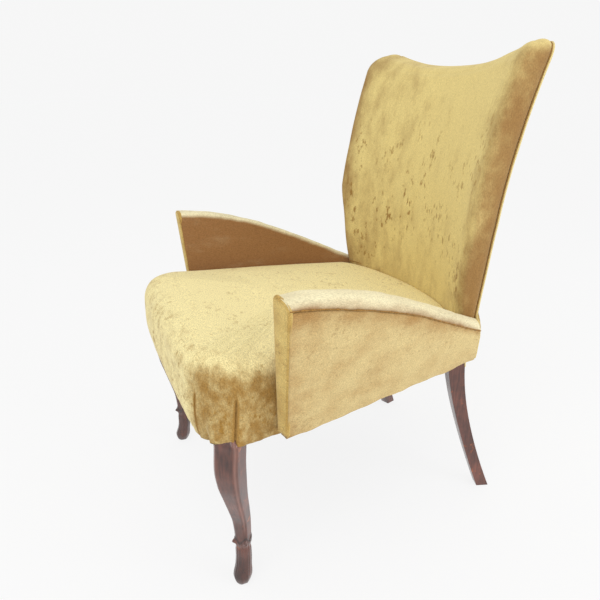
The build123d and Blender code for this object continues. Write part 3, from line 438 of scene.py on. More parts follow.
def shield_loop(low, count, foot):
    """Shield outline as an anticlockwise loop in (x, z), from the middle of its lower edge up the left side."""
    z = np.linspace(foot[-1][1] + 0.004, 0.806, 60)
    side = np.stack([back_half(z), z], axis=1)
    half = np.vstack([[[0, low]], foot, side, top_edge()])
    return even(np.vstack([half, (half[1:-1] * [-1, 1])[::-1]]), count, closed=True)


def toward(loop, centre, count):
    """Rings from a loop to its centre."""
    share = np.linspace(1, 0.015, count)[:, None, None]
    return centre + (loop[None] - centre) * share


# Inside back: side band, rolled edge and dished front

def inside_back():
    """Rings from the rear seam forward along the side band, over a rolled edge, to the middle of the front."""
    turn = np.linspace(-np.pi / 2, 0, 10)
    middle, radius = PAD_CORNER
    foot = np.array([middle, PAD_FLOOR + radius]) + radius * np.stack([np.cos(turn), np.sin(turn)], axis=1)
    loop = shield_loop(PAD_FLOOR, 560, foot)
    normal = outward(loop)
    x, z = loop.T
    rear = on_back(rear_radius(z), x) - BACK_SEAM
    roll = BACK_ROLL - 0.008 * step(0.20 - np.abs(x), 0.0, 0.05) * step(z, 0.78, 0.80)
    edge = on_back(front_radius(z), x) + roll
    low = step(z, PAD_FLOOR, PAD_FLOOR + 0.03)
    rings = []
    for share in np.linspace(0, 1, 12):
        swell = 0.0030 * np.sin(np.pi * share) * low - 0.0018 * (1 - share) ** 8
        ring = loop + normal * swell[:, None]
        rings.append(np.column_stack([ring[:, 0], rear + (edge - rear) * share, ring[:, 1]]))
    for turn in np.linspace(0, np.pi / 2, 9)[1:]:
        ring = loop - normal * (roll * (1 - np.cos(turn)))[:, None]
        face = on_back(front_radius(ring[:, 1]), ring[:, 0])
        rings.append(np.column_stack([ring[:, 0], face + roll * (1 - np.sin(turn)), ring[:, 1]]))
    for ring in toward(loop - normal * roll[:, None], np.array([0, 0.58]), 62)[1:]:
        x, z = ring.T
        full = 0.004 * (1 - (x / back_half(z)) ** 4) * step(0.828 - z, 0.0, 0.035)
        rings.append(np.column_stack([x, on_back(front_radius(z), x) - full, z]))
    # Rows 0 to 11 are the band, 12 to 19 the rolled edge and the rest the front
    grid = np.array(rings)
    held = np.ones(grid.shape[:2])
    held[14:] = (1 - 0.9 * step(np.arange(len(grid) - 14), 0, 14))[:, None]
    held = np.maximum(held, 1 - step(grid[..., 2], 0.40, 0.45))
    grid = stuffed(grid, held, 4.0, 0.005, 4)
    grid[12:, :, 1] += 0.0008 * ripples(grid[12:], 0.09, 3)
    x, z = np.abs(grid[..., 0]), grid[..., 2]
    # Painted shade: darker on the side band and the rolled edge near the sides, lower down and towards the right-hand
    # side
    sheen_and_shade = np.concatenate([np.linspace(1.1, 0.8, 12), np.linspace(0.8, 0.42, 9)[1:], np.linspace(0.42, 0, 10)[1:],
                          np.zeros(52)])
    sheen_and_shade = sheen_and_shade[:, None] * step(x, 0.15, 0.225) * step(0.838 - z, 0.0, 0.03)
    sheen_and_shade += 0.16 * step(0.56 - z, 0.0, 0.16) + 0.2 * step(-grid[..., 0], -0.08, 0.16) - 0.06
    crush = step(0.78 - z, 0.0, 0.16) * (0.6 + 0.5 * ripples(grid, 0.22, 7)) * (1 - step(sheen_and_shade, 0.3, 0.6))
    return surface("inside_back", grid, VELVET_BACK, attributes={"sheen_and_shade": sheen_and_shade, "crush": crush})


def outside_back():
    """Panel on the rear of the back, turned over at its edge, with short ears that close the ends of the arms."""
    foot = [(0.1768, 0.2725), (0.1768, 0.3172), (0.2210, 0.3172), (0.2295, 0.3200), (0.2340, 0.330),
            (0.2388, 0.350), (0.2414, 0.364), (0.2370, 0.378), (0.2260, 0.387), (0.2120, 0.392)]
    loop = shield_loop(0.2725, 640, foot)
    normal = outward(loop)
    centre = np.array([0, 0.50])
    away = loop - centre
    edge = 0.0030
    inset = loop - away * edge / np.linalg.norm(away, axis=1)[:, None]
    steps = [(ring, 0.0) for ring in toward(inset, centre, 48)[::-1]]
    turn = np.linspace(0, np.pi, 9)
    steps += [(loop - normal * (edge - edge * np.sin(a)), 0.0024 * (1 - np.cos(a))) for a in turn[1:]]
    steps += [(ring, 0.0048) for ring in toward(loop - normal * 0.010, centre, 10)]
    rings = []
    for ring, depth in steps:
        x, z = ring.T
        rings.append(np.column_stack([x, on_back(rear_radius(z), x) - depth, z]))
    grid = np.array(rings)
    grid[:48, :, 1] += 0.0006 * ripples(grid[:48], 0.12, 5)
    return surface("outside_back", grid, VELVET_BACK_OUT, attributes={
        "sheen_and_shade": np.full(grid.shape[:2], -0.05), "crush": 0.4 + 0.4 * ripples(grid, 0.25, 8)})


# Arms

def arm_share(y):
    """Share of the way along the arm, 0 at its front and 1 at its rear."""
    return (y - ARM_FRONT) / (ARM_REAR - ARM_FRONT)


def arm_top(y):
    """Top line: nearly level at the front, then falling to the back as a power of a cosine."""
    fall = np.maximum(0, np.cos(np.pi / 2 * np.clip(arm_share(y), 0, 1))) ** 1.15
    return ARM_TOP[1] + (ARM_TOP[0] - ARM_TOP[1]) * fall


def arm_bottom(y):
    """Lower edge: a straight line that rises to the back."""
    return ARM_BOTTOM[0] + (ARM_BOTTOM[1] - ARM_BOTTOM[0]) * arm_share(y)


def arm_inner(y, z):
    """Inner face: a plane that leans out as it rises and draws in towards the back."""
    return ARM_INNER[0] - SPLAY * (y - ARM_FRONT) + ARM_INNER[1] * (z - ARM_BOTTOM[0])


def arm_outer(y, z):
    """Outer face: a plane that leans out more than the inner one, so that the arm thickens upwards."""
    return ARM_OUTER[0] - SPLAY * (y - ARM_FRONT) + ARM_OUTER[1] * (z - ARM_BOTTOM[0])


def front_of_arm(z):
    """Front face of the arm, which draws back towards its lower end."""
    return ARM_FRONT + ARM_LEAN * (ARM_TOP[0] - z) / (ARM_TOP[0] - ARM_BOTTOM[0])


def seam_drop(y):
    """How far the outer seam lies below the crest of the arm: least at both ends."""
    return np.interp(arm_share(y), [0, 0.12, 0.23, 0.35, 0.46, 0.57, 0.68, 0.80, 0.87],
                     [0.0095, 0.0145, 0.0185, 0.0180, 0.0155, 0.0125, 0.0115, 0.0090, 0.0075])


def arm_roll(y, count):
    """Top of a section from the outer seam to the inner face, (y, count, 2).

    A cubic Bezier rises from the seam to a crest near the inner face, and a quarter ellipse turns down from it.
    """
    top, drop = arm_top(y), seam_drop(y)
    crest = np.stack([arm_inner(y, top) + 0.010, top], axis=-1)
    seam = np.stack([arm_outer(y, top - drop), top - drop], axis=-1)
    rise = seam + np.stack([-0.0045 + 0 * drop, drop * 0.95], axis=-1)
    level = crest + [0.014, 0.0006]
    t = np.linspace(0, 1, count * 2 // 3)[None, :, None]
    out = ((1 - t) ** 3 * seam[:, None] + 3 * t * (1 - t) ** 2 * rise[:, None]
           + 3 * t ** 2 * (1 - t) * level[:, None] + t ** 3 * crest[:, None])
    turn = np.linspace(0, np.pi / 2, count - count * 2 // 3 + 1)[None, 1:]
    reach = crest[:, :1] - arm_inner(y, top - 0.012)[:, None]
    over = np.stack([crest[:, :1] - reach * np.sin(turn), top[:, None] - 0.012 * (1 - np.cos(turn))], axis=-1)
    return np.concatenate([out, over], axis=1)


def front_plane(out, z):
    """Depth of the arm's front face: out runs from its inner edge, 0, to its outer edge, 1."""
    high = (z - ARM_BOTTOM[0]) / (ARM_TOP[0] - ARM_BOTTOM[0])
    return front_of_arm(z) - (0.0080 - 0.0035 * high) * (1 - out) - out * (0.0050 - 0.0030 * high)


def settle(section, y):
    """Places a section's (x, z) points along Y, from the front face to the outside of the back."""
    x, z = section[..., 0], section[..., 1]
    share = ((y - ARM_FRONT) / (ARM_END - ARM_FRONT))[:, None]
    inner = arm_inner(y[:, None], z)
    out = np.clip((x - inner) / (arm_outer(y[:, None], z) - inner), 0, 1)
    front = (front_plane(out, z) - ARM_FRONT + 0.002) * (1 - share) ** 2
    rear = (on_back(rear_radius(z), x) - 0.0045 - ARM_END) * share ** 2
    return np.stack([x - SPLAY * (front + rear), y[:, None] + front + rear, z], axis=-1)


def arm_stations(count):
    """Places along the arm, closer together at its front."""
    t = np.linspace(0, 1, count)
    return ARM_FRONT + (ARM_END - ARM_FRONT) * (0.35 * t ** 2 + 0.65 * t)


def arm_inside():
    """Top and inner face of the arm as one closed fold of cloth over its padding."""
    y = arm_stations(120)
    roll = arm_roll(y, 26)
    top = roll[:, -1, 1]
    t = np.linspace(0, 1, 26)[1:]
    z = top[:, None] + (PAD_FLOOR - top[:, None]) * t[None]
    face = np.stack([arm_inner(y[:, None], z) - 0.0022 * np.sin(np.pi * t)[None], z], axis=-1)
    lining = face[:, ::-1] + np.array([0.006, 0])
    under = roll[:, ::-1] + np.array([0, -0.006])
    under[..., 0] = np.maximum(under[..., 0], lining[:, -1:, 0])
    section = np.concatenate([roll, face, lining, under[:, 2:-2]], axis=1)
    grid = settle(section, y)
    grid[:, :51, 2] += 0.0006 * ripples(grid[:, :51], 0.045, 11)
    # Painted shade over the inner face and by the outer seam, painted sheen on the crest
    sheen_and_shade = np.ones(section.shape[:2])
    sheen_and_shade[:, :26] = np.interp(np.arange(26), [0, 2, 7, 20, 25], [0.75, 0.45, 0.02, 0.05, 0.95])
    return grid, sheen_and_shade


def arm_outside():
    """Outer face of the arm below its seam, turned in under the lower edge."""
    y = arm_stations(120)
    seam = arm_top(y) - seam_drop(y) - 0.0004
    low = arm_bottom(y) + 0.0015
    t = np.linspace(0, 1, 40)
    z = seam[:, None] + (low - seam)[:, None] * t[None]
    face = np.stack([arm_outer(y[:, None], z) + 0.0025 * np.sin(np.pi * t)[None] ** 0.7, z], axis=-1)
    turn = np.linspace(0, np.pi / 2, 6)[1:]
    edge_x = arm_outer(y, low)
    hem = np.stack([edge_x[:, None] - 0.004 * (1 - np.cos(turn))[None],
                    low[:, None] - 0.0035 * np.sin(turn)[None]], axis=-1)
    back = np.stack([edge_x[:, None] - np.array([[0.012, 0.020, 0.0205]]),
                     low[:, None] - np.array([[0.0035, 0.0035, -0.004]])], axis=-1)
    inner = face[:, ::-8] - np.array([0.004, 0])
    section = np.concatenate([face, hem, back, inner], axis=1)
    grid = settle(section, y)
    wave = 0.0010 * ripples(grid[:, :48], 0.05, 17) + 0.0005 * ripples(grid[:, :48], 0.018, 18)
    pucker = np.exp(-((np.arange(48) - 2) / 3.0) ** 2)[None] * step(y, 0.02, 0.16)[:, None]
    grid[:, :48, 0] += 0.5 * wave - 0.0008 * pucker * (1 + np.sin(y[:, None] * 2 * np.pi / 0.013))
    grid[:, 38:46, 2] += 0.0012 * ripples(grid[:, 38:46] * [0, 1, 0], 0.06, 19)
    # Painted shade: light over the face, darker under the seam and towards the front end
    sheen_and_shade = np.full(section.shape[:2], 0.15)
    sheen_and_shade[:, :8] = np.linspace(0.75, 0.2, 8)
    sheen_and_shade += 0.30 * np.exp(-(y - ARM_FRONT) / 0.03)[:, None] - 0.06 * step(y, 0.02, 0.16)[:, None]
    return grid, sheen_and_shade


def arm_facing():
    """Front face of the arm: its outline as rings, rounded at the rim and slightly full in the middle."""
    roll = arm_roll(np.array([ARM_FRONT]), 30)[0]
    z = np.linspace(roll[-1, 1], ARM_BOTTOM[0] - 0.002, 30)[1:]
    inner = np.stack([arm_inner(ARM_FRONT, z), z], axis=1)
    z = np.linspace(ARM_BOTTOM[0] - 0.002, roll[0, 1], 30)[1:-1]
    outer = np.stack([arm_outer(ARM_FRONT, z) + 0.001, z], axis=1)
    loop = even(np.vstack([roll, inner, outer]), 300, closed=True)
    normal = outward(loop)
    z = np.clip(loop[:, 1], 0.300, 0.492)
    spine = np.column_stack([(arm_inner(ARM_FRONT, z) + arm_outer(ARM_FRONT, z)) / 2, z])
    rings = [(loop - normal * inset, depth) for inset, depth in (
        (0.006, 0.0060), (0.0, 0.0060), (-0.0006, 0.0035), (0.0002, 0.0018), (0.0014, 0.0006), (0.0030, 0.0))]
    base = rings[-1][0]
    rings += [(base + (spine - base) * t, -0.0016 * np.sin(np.pi / 2 * t)) for t in np.linspace(0, 1, 12)[1:]]
    grid = []
    for ring, depth in rings:
        x, z = ring.T
        inner = arm_inner(ARM_FRONT, z)
        out = np.clip((x - inner) / (arm_outer(ARM_FRONT, z) - inner), 0, 1)
        y = front_plane(out, z) + depth
        grid.append(np.column_stack([x - SPLAY * (y - ARM_FRONT), y, z]))
    grid = np.array(grid)
    # Painted shade over the front face, deeper on its rolled rim
    sheen_and_shade = np.full(grid.shape[:2], 0.35)
    sheen_and_shade[2:6] = 0.6
    return grid, sheen_and_shade


# Seat

def rounded(corners, radii):
    """Closed polygon with an arc of each radius in place of its corner; every arc has 30 points."""
    corners = np.asarray(corners, float)
    before, after = np.roll(corners, 1, axis=0) - corners, np.roll(corners, -1, axis=0) - corners
    before /= np.linalg.norm(before, axis=1)[:, None]
    after /= np.linalg.norm(after, axis=1)[:, None]
    half = np.arccos(np.clip((before * after).sum(1), -1, 1)) / 2
    middle = before + after
    middle /= np.linalg.norm(middle, axis=1)[:, None]
    hub = corners + middle * (radii / np.sin(half))[:, None]
    start = corners + before * (radii / np.tan(half))[:, None] - hub
    first = np.arctan2(start[:, 1], start[:, 0])
    turn = first[:, None] + (np.pi - 2 * half)[:, None] * np.linspace(0, 1, 30)
    return (hub[:, None] + np.asarray(radii)[:, None, None] * np.stack([np.cos(turn), np.sin(turn)], -1)).reshape(-1, 2)


def seat_loop(count):
    """Plan of the seat at its fullest: tapering sides, 84 mm front corners and a bowed front, anticlockwise.

    Its points lie four times as close at the front corners, where the pleats are.
    """
    wide, narrow = SEAT_HALF
    rear = SEAT_REAR + 0.03
    corners = [(-wide, SEAT_FRONT), (wide, SEAT_FRONT), (narrow, rear), (-narrow, rear)]
    loop = even(rounded(corners, np.repeat(SEAT_CORNERS, 2)), 4000, closed=True)
    loop[:, 1] += SEAT_BOW * (loop[:, 0] / wide) ** 2 * step(-loop[:, 1], 0.0, 0.25)
    dense = 1 + 3 * step(np.abs(loop[:, 0]), 0.15, 0.18) * step(-loop[:, 1], 0.20, 0.23)
    run = np.cumsum(dense)
    at = np.linspace(run[0], run[-1], count, endpoint=False)
    return np.stack([np.interp(at, run, loop[:, k]) for k in (0, 1)], axis=1)


def rail_outer(y):
    """Outer face of the side rail: a straight line in plan that draws in towards the back."""
    half, at, taper = RAIL
    return half - taper * (y + MIDDLE - at)


# Places of the two pleats of a corner in plan, each at the hem and at its upper end
PLEATS = (((0.2069, -0.3089), (0.2143, -0.3055)), ((0.2567, -0.2570), (0.2579, -0.2531)))
PLEAT_TOP = 0.360


def pleat_offsets(loop, z):
    """For each pleat and its mirror image, the distance along the plan from it, positive towards the side."""
    run = np.concatenate([[0], np.cumsum(np.linalg.norm(np.diff(loop, axis=0), axis=1))])
    rise = np.clip((z - SEAT_BOTTOM) / (PLEAT_TOP - SEAT_BOTTOM), 0, 1)
    found = []
    for ends in PLEATS:
        for side in (1, -1):
            low, high = (run[np.argmin(np.hypot(loop[:, 0] - side * x, loop[:, 1] + MIDDLE - y))] for x, y in ends)
            found.append((run[None] - low - (high - low) * rise) * side)
    return found


def seat():
    """Rings from the turned-in hem up the full sides, over the rolled edge, to the crown of the seat."""
    loop = seat_loop(960)
    normal = outward(loop)
    # Over the leg the hem keeps its full width, and it draws in less at the front than at the sides
    from_leg = np.abs(np.abs(loop[:, 0]) - LEG[0] + loop[:, 1] - LEG[1]) * np.sqrt(0.5)
    over_leg = (1 - step(from_leg, 0.021, 0.036)) * (loop[:, 1] < -0.1)
    keep = (1 - over_leg) * (1 - 0.22 * step(-normal[:, 1], 0.6, 1.0))
    hem = ((-0.030, 0.0020), (-0.026, 0.0004), (-0.019, 0.0), (-0.0165, 0.0016))
    levels = [(grow * keep, SEAT_BOTTOM + lift, 0.0) for grow, lift in hem]
    for t in np.linspace(0, 1, 24)[1:]:
        levels.append((-0.016 * (1 - t) ** 2 * keep, SEAT_BOTTOM + SEAT_FULLEST * t, 0.0))
    upright = SEAT_EDGE - SEAT_ROLL - SEAT_BOTTOM - SEAT_FULLEST
    for t in np.linspace(0, 1, 6)[1:-1]:
        levels.append((np.zeros_like(keep), SEAT_BOTTOM + SEAT_FULLEST + upright * t, t))
    for turn in np.linspace(0, np.pi / 2, 14):
        grow = np.full_like(keep, -SEAT_ROLL * (1 - np.cos(turn)))
        levels.append((grow, SEAT_EDGE - SEAT_ROLL * (1 - np.sin(turn)), 1.0))
    # Painted sheen on the top and the front, painted shade round the corners and sides
    pressed = 0.06 + 0.72 * step(np.abs(normal[:, 0]), -0.22, 0.66)
    rings, sheen_and_shade = [], []
    for grow, level, fall in levels:
        ring = loop + normal * grow[:, None]
        rings.append(np.column_stack([ring, level - fall * SEAT_FALL * (ring[:, 1] - SEAT_FRONT)]))
        sheen_and_shade.append(pressed * (1 - step(level, SEAT_EDGE - SEAT_ROLL * 0.85, SEAT_EDGE + SEAT_ROLL * 0.18)))
    # Height of the crown over the rolled edge, before the stuffing swells it
    crown = 0.003
    top = loop - normal * SEAT_ROLL
    for ring in toward(top, np.array([0, -0.03]), 56)[1:]:
        deep = np.linalg.norm(ring - top, axis=1)
        level = SEAT_EDGE + crown * (1 - np.exp(-deep / 0.03)) + 0.002 * step(deep, 0.02, 0.2)
        rings.append(np.column_stack([ring, level - SEAT_FALL * (ring[:, 1] - SEAT_FRONT)]))
        # Painted sheen on the crown
        sheen_and_shade.append(np.full(len(loop), -0.15))
    grid, sheen_and_shade = np.array(rings), np.array(sheen_and_shade)
    x, y, z = grid[..., 0], grid[..., 1], grid[..., 2]
    side_by = step(np.abs(x) - arm_inner(y, SEAT_EDGE), -0.035, -0.005) * step(y, ARM_FRONT - 0.03, ARM_FRONT + 0.01)
    rear_by = step(y - on_back(front_radius(SEAT_EDGE), x), -0.04, -0.005)
    held = np.maximum.reduce([1 - step(z, 0.278, 0.330), side_by, rear_by])
    grid = stuffed(grid, held, 4.0, 0.006)
    x, y, z = grid[..., 0], grid[..., 1], grid[..., 2]  # views, so they follow what is done to the grid

    # Gathers and a slightly uneven hem, and two sewn pleats at each front corner
    low = 1 - step(z, SEAT_BOTTOM + 0.004, SEAT_BOTTOM + 0.045)
    flat = np.stack([x, y, z * 0], axis=-1)
    swell = 0.0005 * ripples(flat, 0.016, 23) * low + 0.0012 * ripples(grid, 0.10, 29) * step(z, 0.28, 0.34)
    fade = 1 - step(z, PLEAT_TOP - 0.020, PLEAT_TOP)
    for along in pleat_offsets(loop, z):
        fold = np.exp(-(along / 0.0016) ** 2) * fade
        swell = swell - 0.0042 * fold + 0.0022 * np.exp(-np.maximum(along, 0) / 0.009) * (along > 0) * fade
        # Painted shade along each pleat's fold
        sheen_and_shade = sheen_and_shade + 1.3 * np.exp(-(along / 0.0028) ** 2) * fade
    swell = swell + 0.0035 * over_leg[None] * (1 - step(z, SEAT_BOTTOM + 0.010, SEAT_BOTTOM + 0.050))
    grid[..., :2] += swell[..., None] * normal[None]
    droop = step(np.abs(normal[:, 0]), 0.75, 0.95) * (loop[:, 1] < ARM_FRONT + 0.03)
    grid[..., 2] += (0.0011 * ripples(flat, 0.05, 31) - 0.0022 * droop[None] + 0.0105 * over_leg[None]) * low

    # Tucked in beside the arms and under the back, and close to the rails below them
    behind = step(y, ARM_FRONT + 0.004, ARM_FRONT + 0.010)
    limit = arm_inner(y, np.maximum(z, PAD_FLOOR)) - CLEARANCE
    room = limit - np.abs(x)
    tuck = behind * np.exp(-np.maximum(room, 0) / 0.008) * step(z, 0.36, 0.37)
    grid[..., 0] = np.where(behind > 0, np.sign(x) * np.minimum(np.abs(x), limit + (1 - behind) * 0.05), x)
    below = (1 - step(z, PAD_FLOOR - 0.012, PAD_FLOOR)) * step(y, ARM_FRONT + 0.012, ARM_FRONT + 0.040)
    rail = np.sign(x) * np.minimum(np.abs(x), rail_outer(y) + 0.003)
    grid[..., 0] += (rail - x) * below
    stop = on_back(front_radius(np.maximum(z, PAD_FLOOR)), x) - CLEARANCE
    close = stop - y
    tuck = np.maximum(tuck, np.exp(-np.maximum(close, 0) / 0.010) * step(z, 0.36, 0.37))
    grid[..., 1] = np.minimum(y, stop)
    grid[..., 2] -= 0.007 * tuck
    # Painted shade where the seat is tucked in beside the arms and under the back
    sheen_and_shade = sheen_and_shade + 0.8 * step(tuck, 0.45, 1.0)
    crush = 1 - step(z, SEAT_EDGE - 0.045, SEAT_EDGE + 0.002)
    return grid, {"sheen_and_shade": sheen_and_shade, "crush": crush}


# Front legs

def spline(levels, values, z):
    """Smooth monotone curve through a few sizes along the leg (cubic Hermite with limited slopes)."""
    levels, values = np.asarray(levels, float), np.asarray(values, float)
    gap = np.diff(levels)
    rate = np.diff(values) / gap
    inner = np.where(rate[:-1] * rate[1:] > 0, 2 * rate[:-1] * rate[1:] / (rate[:-1] + rate[1:] + 1e-12), 0)
    slope = np.concatenate([[rate[0]], inner, [rate[-1]]])
    k = np.clip(np.searchsorted(levels, z) - 1, 0, len(gap) - 1)
    t = (z - levels[k]) / gap[k]
    h = gap[k]
    return (values[k] * (1 + 2 * t) * (1 - t) ** 2 + slope[k] * h * t * (1 - t) ** 2
            + values[k + 1] * t ** 2 * (3 - 2 * t) + slope[k + 1] * h * t ** 2 * (t - 1))


def squared(turn, half, chamfer, soft):
    """Distance from the middle to a square with flattened corners, its edges eased by a soft minimum."""
    faces = [half / np.maximum(np.abs(np.cos(turn - a)), 1e-3) for a in (0, np.pi / 2)]
    cut = (2 * half - chamfer) / np.sqrt(2)
    faces += [cut / np.maximum(np.abs(np.cos(turn - a)), 1e-3) for a in (np.pi / 4, -np.pi / 4)]
    power = -soft
    return sum(f ** power for f in faces) ** (1 / power)


def front_leg():
    """Square section on the diagonal, carried up an S-curved line, with fluted corners and a carved hoof."""
    z = np.concatenate([np.linspace(0, 0.015, 10)[:-1], np.linspace(0.015, 0.066, 26)[:-1],
                        np.linspace(0.066, 0.096, 44)[:-1], np.linspace(0.096, 0.294, 78)])
    turn = np.linspace(0, 2 * np.pi, 120, endpoint=False)
    corners = np.pi / 4 + np.pi / 2 * np.arange(4)

    def around(middle, wide):
        """Bell curve about an angle of the section."""
        return np.exp(-((np.mod(turn - middle + np.pi, 2 * np.pi) - np.pi) / wide) ** 2)

    levels = [0.044, 0.085, 0.115, 0.145, 0.175, 0.205, 0.235, 0.272]
    height = np.clip(z, levels[0], levels[-1])
    width = spline(levels, [0.0220, 0.0232, 0.0252, 0.0290, 0.0330, 0.0378, 0.0402, 0.0404], height)
    shift = spline(levels, [-0.0070, -0.0090, -0.0072, 0.0000, 0.0088, 0.0160, 0.0190, 0.0150], height)
    width = width * (1 - 0.35 * step(z, 0.279, 0.294))
    shaft = squared(turn[None], width[:, None] / 2, 0.0045, 34)
    flute = sum(around(a, 0.13) for a in corners)
    shaft = shaft - 0.0010 * flute[None] * step(z, 0.085, 0.12)[:, None]
    hoof_width = spline([0, 0.004, 0.015, 0.034, 0.060, 0.078, 0.092],
                        [0.0200, 0.0242, 0.0286, 0.0256, 0.0250, 0.0262, 0.0270], np.clip(z, 0, 0.092))
    hoof = squared(turn[None], hoof_width[:, None] / 2, 0.007, 24)
    crease = sum(around(a, 0.09) for a in (0.40, -0.40, np.pi / 2 - 0.35, -np.pi / 2 + 0.35))
    hoof = hoof - 0.0014 * crease[None] * step(z, 0.006, 0.03)[:, None]
    curl = np.exp(-((z - 0.0795) / 0.0040) ** 2)[:, None] * (around(np.pi / 4, 0.20) + around(-np.pi / 4, 0.20))[None]
    hoof = hoof + 0.0052 * curl - 0.0012 * np.exp(-((z - 0.0690) / 0.005) ** 2)[:, None]
    rim = 0.0835 + 0.0048 * np.cos(4 * (turn - np.pi / 4))[None]
    over = step(z[:, None], rim - 0.0009, rim + 0.0009)
    reach = hoof * (1 - over) + shaft * over
    lean = -0.0080 * step(z, 0.0, 0.05) * (1 - step(z, 0.060, 0.100)) + shift * step(z, 0.060, 0.100)
    u = reach * np.cos(turn)[None] + lean[:, None]
    v = reach * np.sin(turn)[None]
    d = np.sqrt(0.5)
    points = np.stack([LEG[0] + (u + v) * d, LEG[1] - (u - v) * d,
                       np.broadcast_to(z[:, None], u.shape)], axis=-1)
    edge = sum(around(a, 0.10) for a in corners)
    # Lighter on the edges, partly wear and partly painted highlight; painted shade at the cuff's rim
    worn = 0.5 * edge[None] * step(z, 0.09, 0.12)[:, None] - 0.9 * np.exp(-np.abs(z[:, None] - rim) / 0.0022)
    # Darker towards the foot of the hoof
    worn = worn - 0.35 * step(0.075 - z, 0.0, 0.02)[:, None] * np.ones_like(u)
    return points, worn


# Placing the pieces

def pair(name, grid, material, covered, caps=(True, True), attributes=None):
    """A left-hand piece and its mirror image, each standing for its own node."""
    made = []
    for side, points in (("left", grid), ("right", mirrored(grid))):
        piece = surface(f"{name}_{side}", points, material, caps, attributes)
        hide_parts(f"{covered}_{side}")
        made.append(piece)
    return made


back = inside_back()
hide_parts("inside_back_cover")
panel = outside_back()
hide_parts("outside_back_cover")

for name, (grid, sheen_and_shade), material, covered, caps in (
        ("arm_inside", arm_inside(), VELVET_ARM_IN, "arm_inside_cover", (True, True)),
        ("arm_outside", arm_outside(), VELVET_ARM_OUT, "arm_outside_cover", (True, True)),
        ("arm_front", arm_facing(), VELVET_ARM_FRONT, "arm_facing", (True, False))):
    for piece in pair(name, grid, material, covered, caps, {"sheen_and_shade": sheen_and_shade}):
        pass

grid, finish = seat()
seat_piece = surface("seat", grid, VELVET_SEAT, (False, True), finish)
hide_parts("seat_cover")

grid, worn = front_leg()
pair("carved_leg", grid, WALNUT, "front_leg", attributes={"worn": worn})


# Seams: the fold of cloth sewn in between two covers, drawn as a thin welt, and a thread of painted shadow

def welt(name, path, radius, both=True):
    """Sewn edge as a thin roll of cloth along a path, on the left and mirrored on the right."""
    tube(f"{name}_left" if both else name, path, radius, SEAM)
    if both:
        tube(f"{name}_right", mirrored(path), radius, SEAM)


stations = arm_stations(400)
edge = settle(arm_roll(stations, 9)[:, :1], stations)[:, 0]
lumps = 0.0010 + 0.00035 * ripples(edge, 0.012, 41)
welt("arm_seam", edge + [0.0004, 0, 0], lumps)
loop = shield_loop(0.36, 1400, [(0.2080, 0.364)])
loop = loop[loop[:, 1] > 0.370]
seam_x, seam_z = (loop - outward(loop) * 0.0012 * step(loop[:, 1:], 0.70, 0.80)).T
seam_y = on_back(rear_radius(seam_z), seam_x) - BACK_SEAM
welt("back_seam", np.column_stack([seam_x, seam_y, seam_z])[3:-3], 0.0010, False)

# A dark thread along the foot of the back, where the seat meets it: painted shadow in the gap, not a seam
across = np.linspace(-0.198, 0.198, 300)
level = SEAT_EDGE + 0.0030 - SEAT_FALL * (on_back(front_radius(0.39), across) - SEAT_FRONT)
welt("seat_back_shadow_line", np.column_stack([across, on_back(front_radius(level), across) - 0.0010, level]), 0.0011, False)

# Rear posts keep their shape; their edges are eased as a rasp and sandpaper leave them
for side in ("left", "right"):
    post = frame["nodes"][f"rear_post_{side}"]
    post.modifiers.new("joined", "WELD").merge_threshold = 0.00002
    ease = post.modifiers.new("eased", "BEVEL")
    ease.width, ease.segments, ease.limit_method, ease.angle_limit = 0.0022, 3, "ANGLE", np.radians(35)

# Finishes of the frame that stays as it is

FINISHES = (("rear_post", WALNUT), ("screws", STEEL), ("webbing", JUTE), ("hessian", HESSIAN), ("dust_cover", LINING),
            ("wadding", COTTON), ("pad", COTTON), ("stuffing", COTTON))
for name, item in frame["nodes"].items():
    finish = next((material for word, material in FINISHES if word in name), BEECH)
    item.data.materials.clear()
    item.data.materials.append(finish)


# Camera, floor and light

SENSOR, FOCAL, PICTURE = 36, 578, 600  # sensor in millimetres, focal length and picture in pixels


def camera():
    """Camera at the photograph's place: turned 67 degrees to the right, 20 degrees above the horizon."""
    turn, rise, roll = np.radians([67.12, 19.97, -0.61])
    ahead = np.array([-np.sin(turn) * np.cos(rise), np.cos(turn) * np.cos(rise), -np.sin(rise)])
    right = np.array([np.cos(turn), np.sin(turn), 0])
    up = np.cross(right, ahead)
    right, up = right * np.cos(roll) + up * np.sin(roll), up * np.cos(roll) - right * np.sin(roll)
    made = bpy.data.objects.new("camera", bpy.data.cameras.new("camera"))
    made.data.lens = SENSOR * FOCAL / PICTURE
    made.data.sensor_width = SENSOR
    place = np.eye(4)
    place[:3, :3] = np.column_stack([right, up, -ahead])
    place[:3, 3] = 0.9539, -0.4475 - MIDDLE, 0.7644
    made.matrix_world = Matrix(place.tolist())
    bpy.context.scene.collection.objects.link(made)
    bpy.context.scene.camera = made


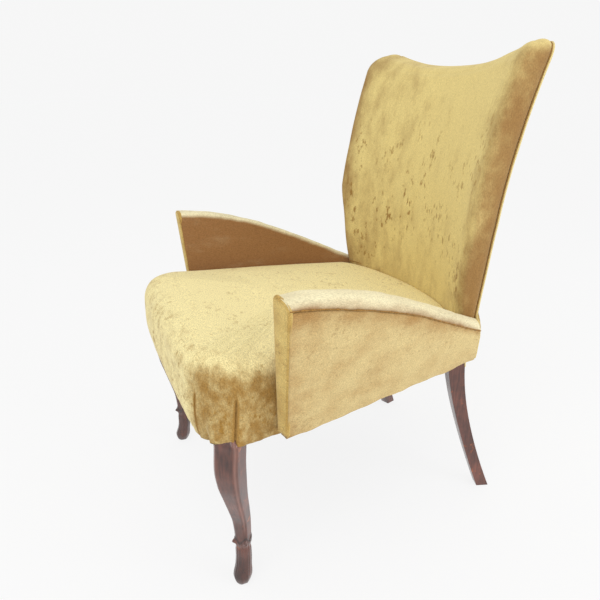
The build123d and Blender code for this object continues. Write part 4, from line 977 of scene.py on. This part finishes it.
def lamp(name, place, target, size, power):
    """Soft square lamp aimed at a point."""
    made = bpy.data.objects.new(name, bpy.data.lights.new(name, "AREA"))
    made.data.size = size
    made.data.energy = power
    way = np.array(target, float) - np.array(place, float)
    made.matrix_world = Matrix.Translation(place) @ Vector(way).to_track_quat("-Z", "Y").to_matrix().to_4x4()
    bpy.context.scene.collection.objects.link(made)


def seen(tree):
    """1 for what the camera, a reflection or glass shows, 0 for the light that falls on the object."""
    ray = node(tree, "ShaderNodeLightPath").outputs
    shown = node(tree, "ShaderNodeMath", {0: ray["Is Camera Ray"], 1: ray["Is Glossy Ray"]}, operation="MAXIMUM")
    shown = node(tree, "ShaderNodeMath", {0: shown.outputs[0], 1: ray["Is Transmission Ray"]}, operation="MAXIMUM")
    return shown.outputs[0]


def floor():
    """Pale matt floor, near white to the camera and to reflections, that keeps the chair's faint shadow."""
    mesh = bpy.data.meshes.new("floor")
    mesh.from_pydata([(-60, -60, 0), (60, -60, 0), (60, 60, 0), (-60, 60, 0)], [], [(0, 1, 2, 3)])
    material, tree, shader = new_material("studio_floor", Roughness=0.9, Base_Color=linear("#F4F4F4"))
    share = node(tree, "ShaderNodeMath", {0: seen(tree), 1: 0.86}, operation="MULTIPLY")
    glow = node(tree, "ShaderNodeEmission", {"Color": linear("#FBFBFB"), "Strength": 1.0})
    both = node(tree, "ShaderNodeMixShader", {0: share.outputs[0], 1: shader.outputs[0], 2: glow.outputs[0]})
    tree.links.new(both.outputs[0], tree.nodes["Material Output"].inputs["Surface"])
    mesh.materials.append(material)
    made = bpy.data.objects.new("floor", mesh)
    bpy.context.scene.collection.objects.link(made)


def world():
    """Even studio surround, white to the camera and to reflections."""
    made = bpy.data.worlds.new("studio")
    made.use_nodes = True
    tree = made.node_tree
    level = node(tree, "ShaderNodeMapRange", {"Value": seen(tree), "To Min": 0.74, "To Max": 0.926})
    shade = tree.nodes["Background"]
    shade.inputs["Color"].default_value = (1, 1, 1, 1)
    tree.links.new(level.outputs["Result"], shade.inputs["Strength"])
    bpy.context.scene.world = made


camera()
floor()
world()
lamp("key", (1.4, -1.4, 2.4), (0, 0, 0.4), 1.8, 28)
lamp("side", (2.0, 1.4, 1.0), (0, 0, 0.35), 1.4, 20)
bpy.context.scene.view_settings.view_transform = "Standard"
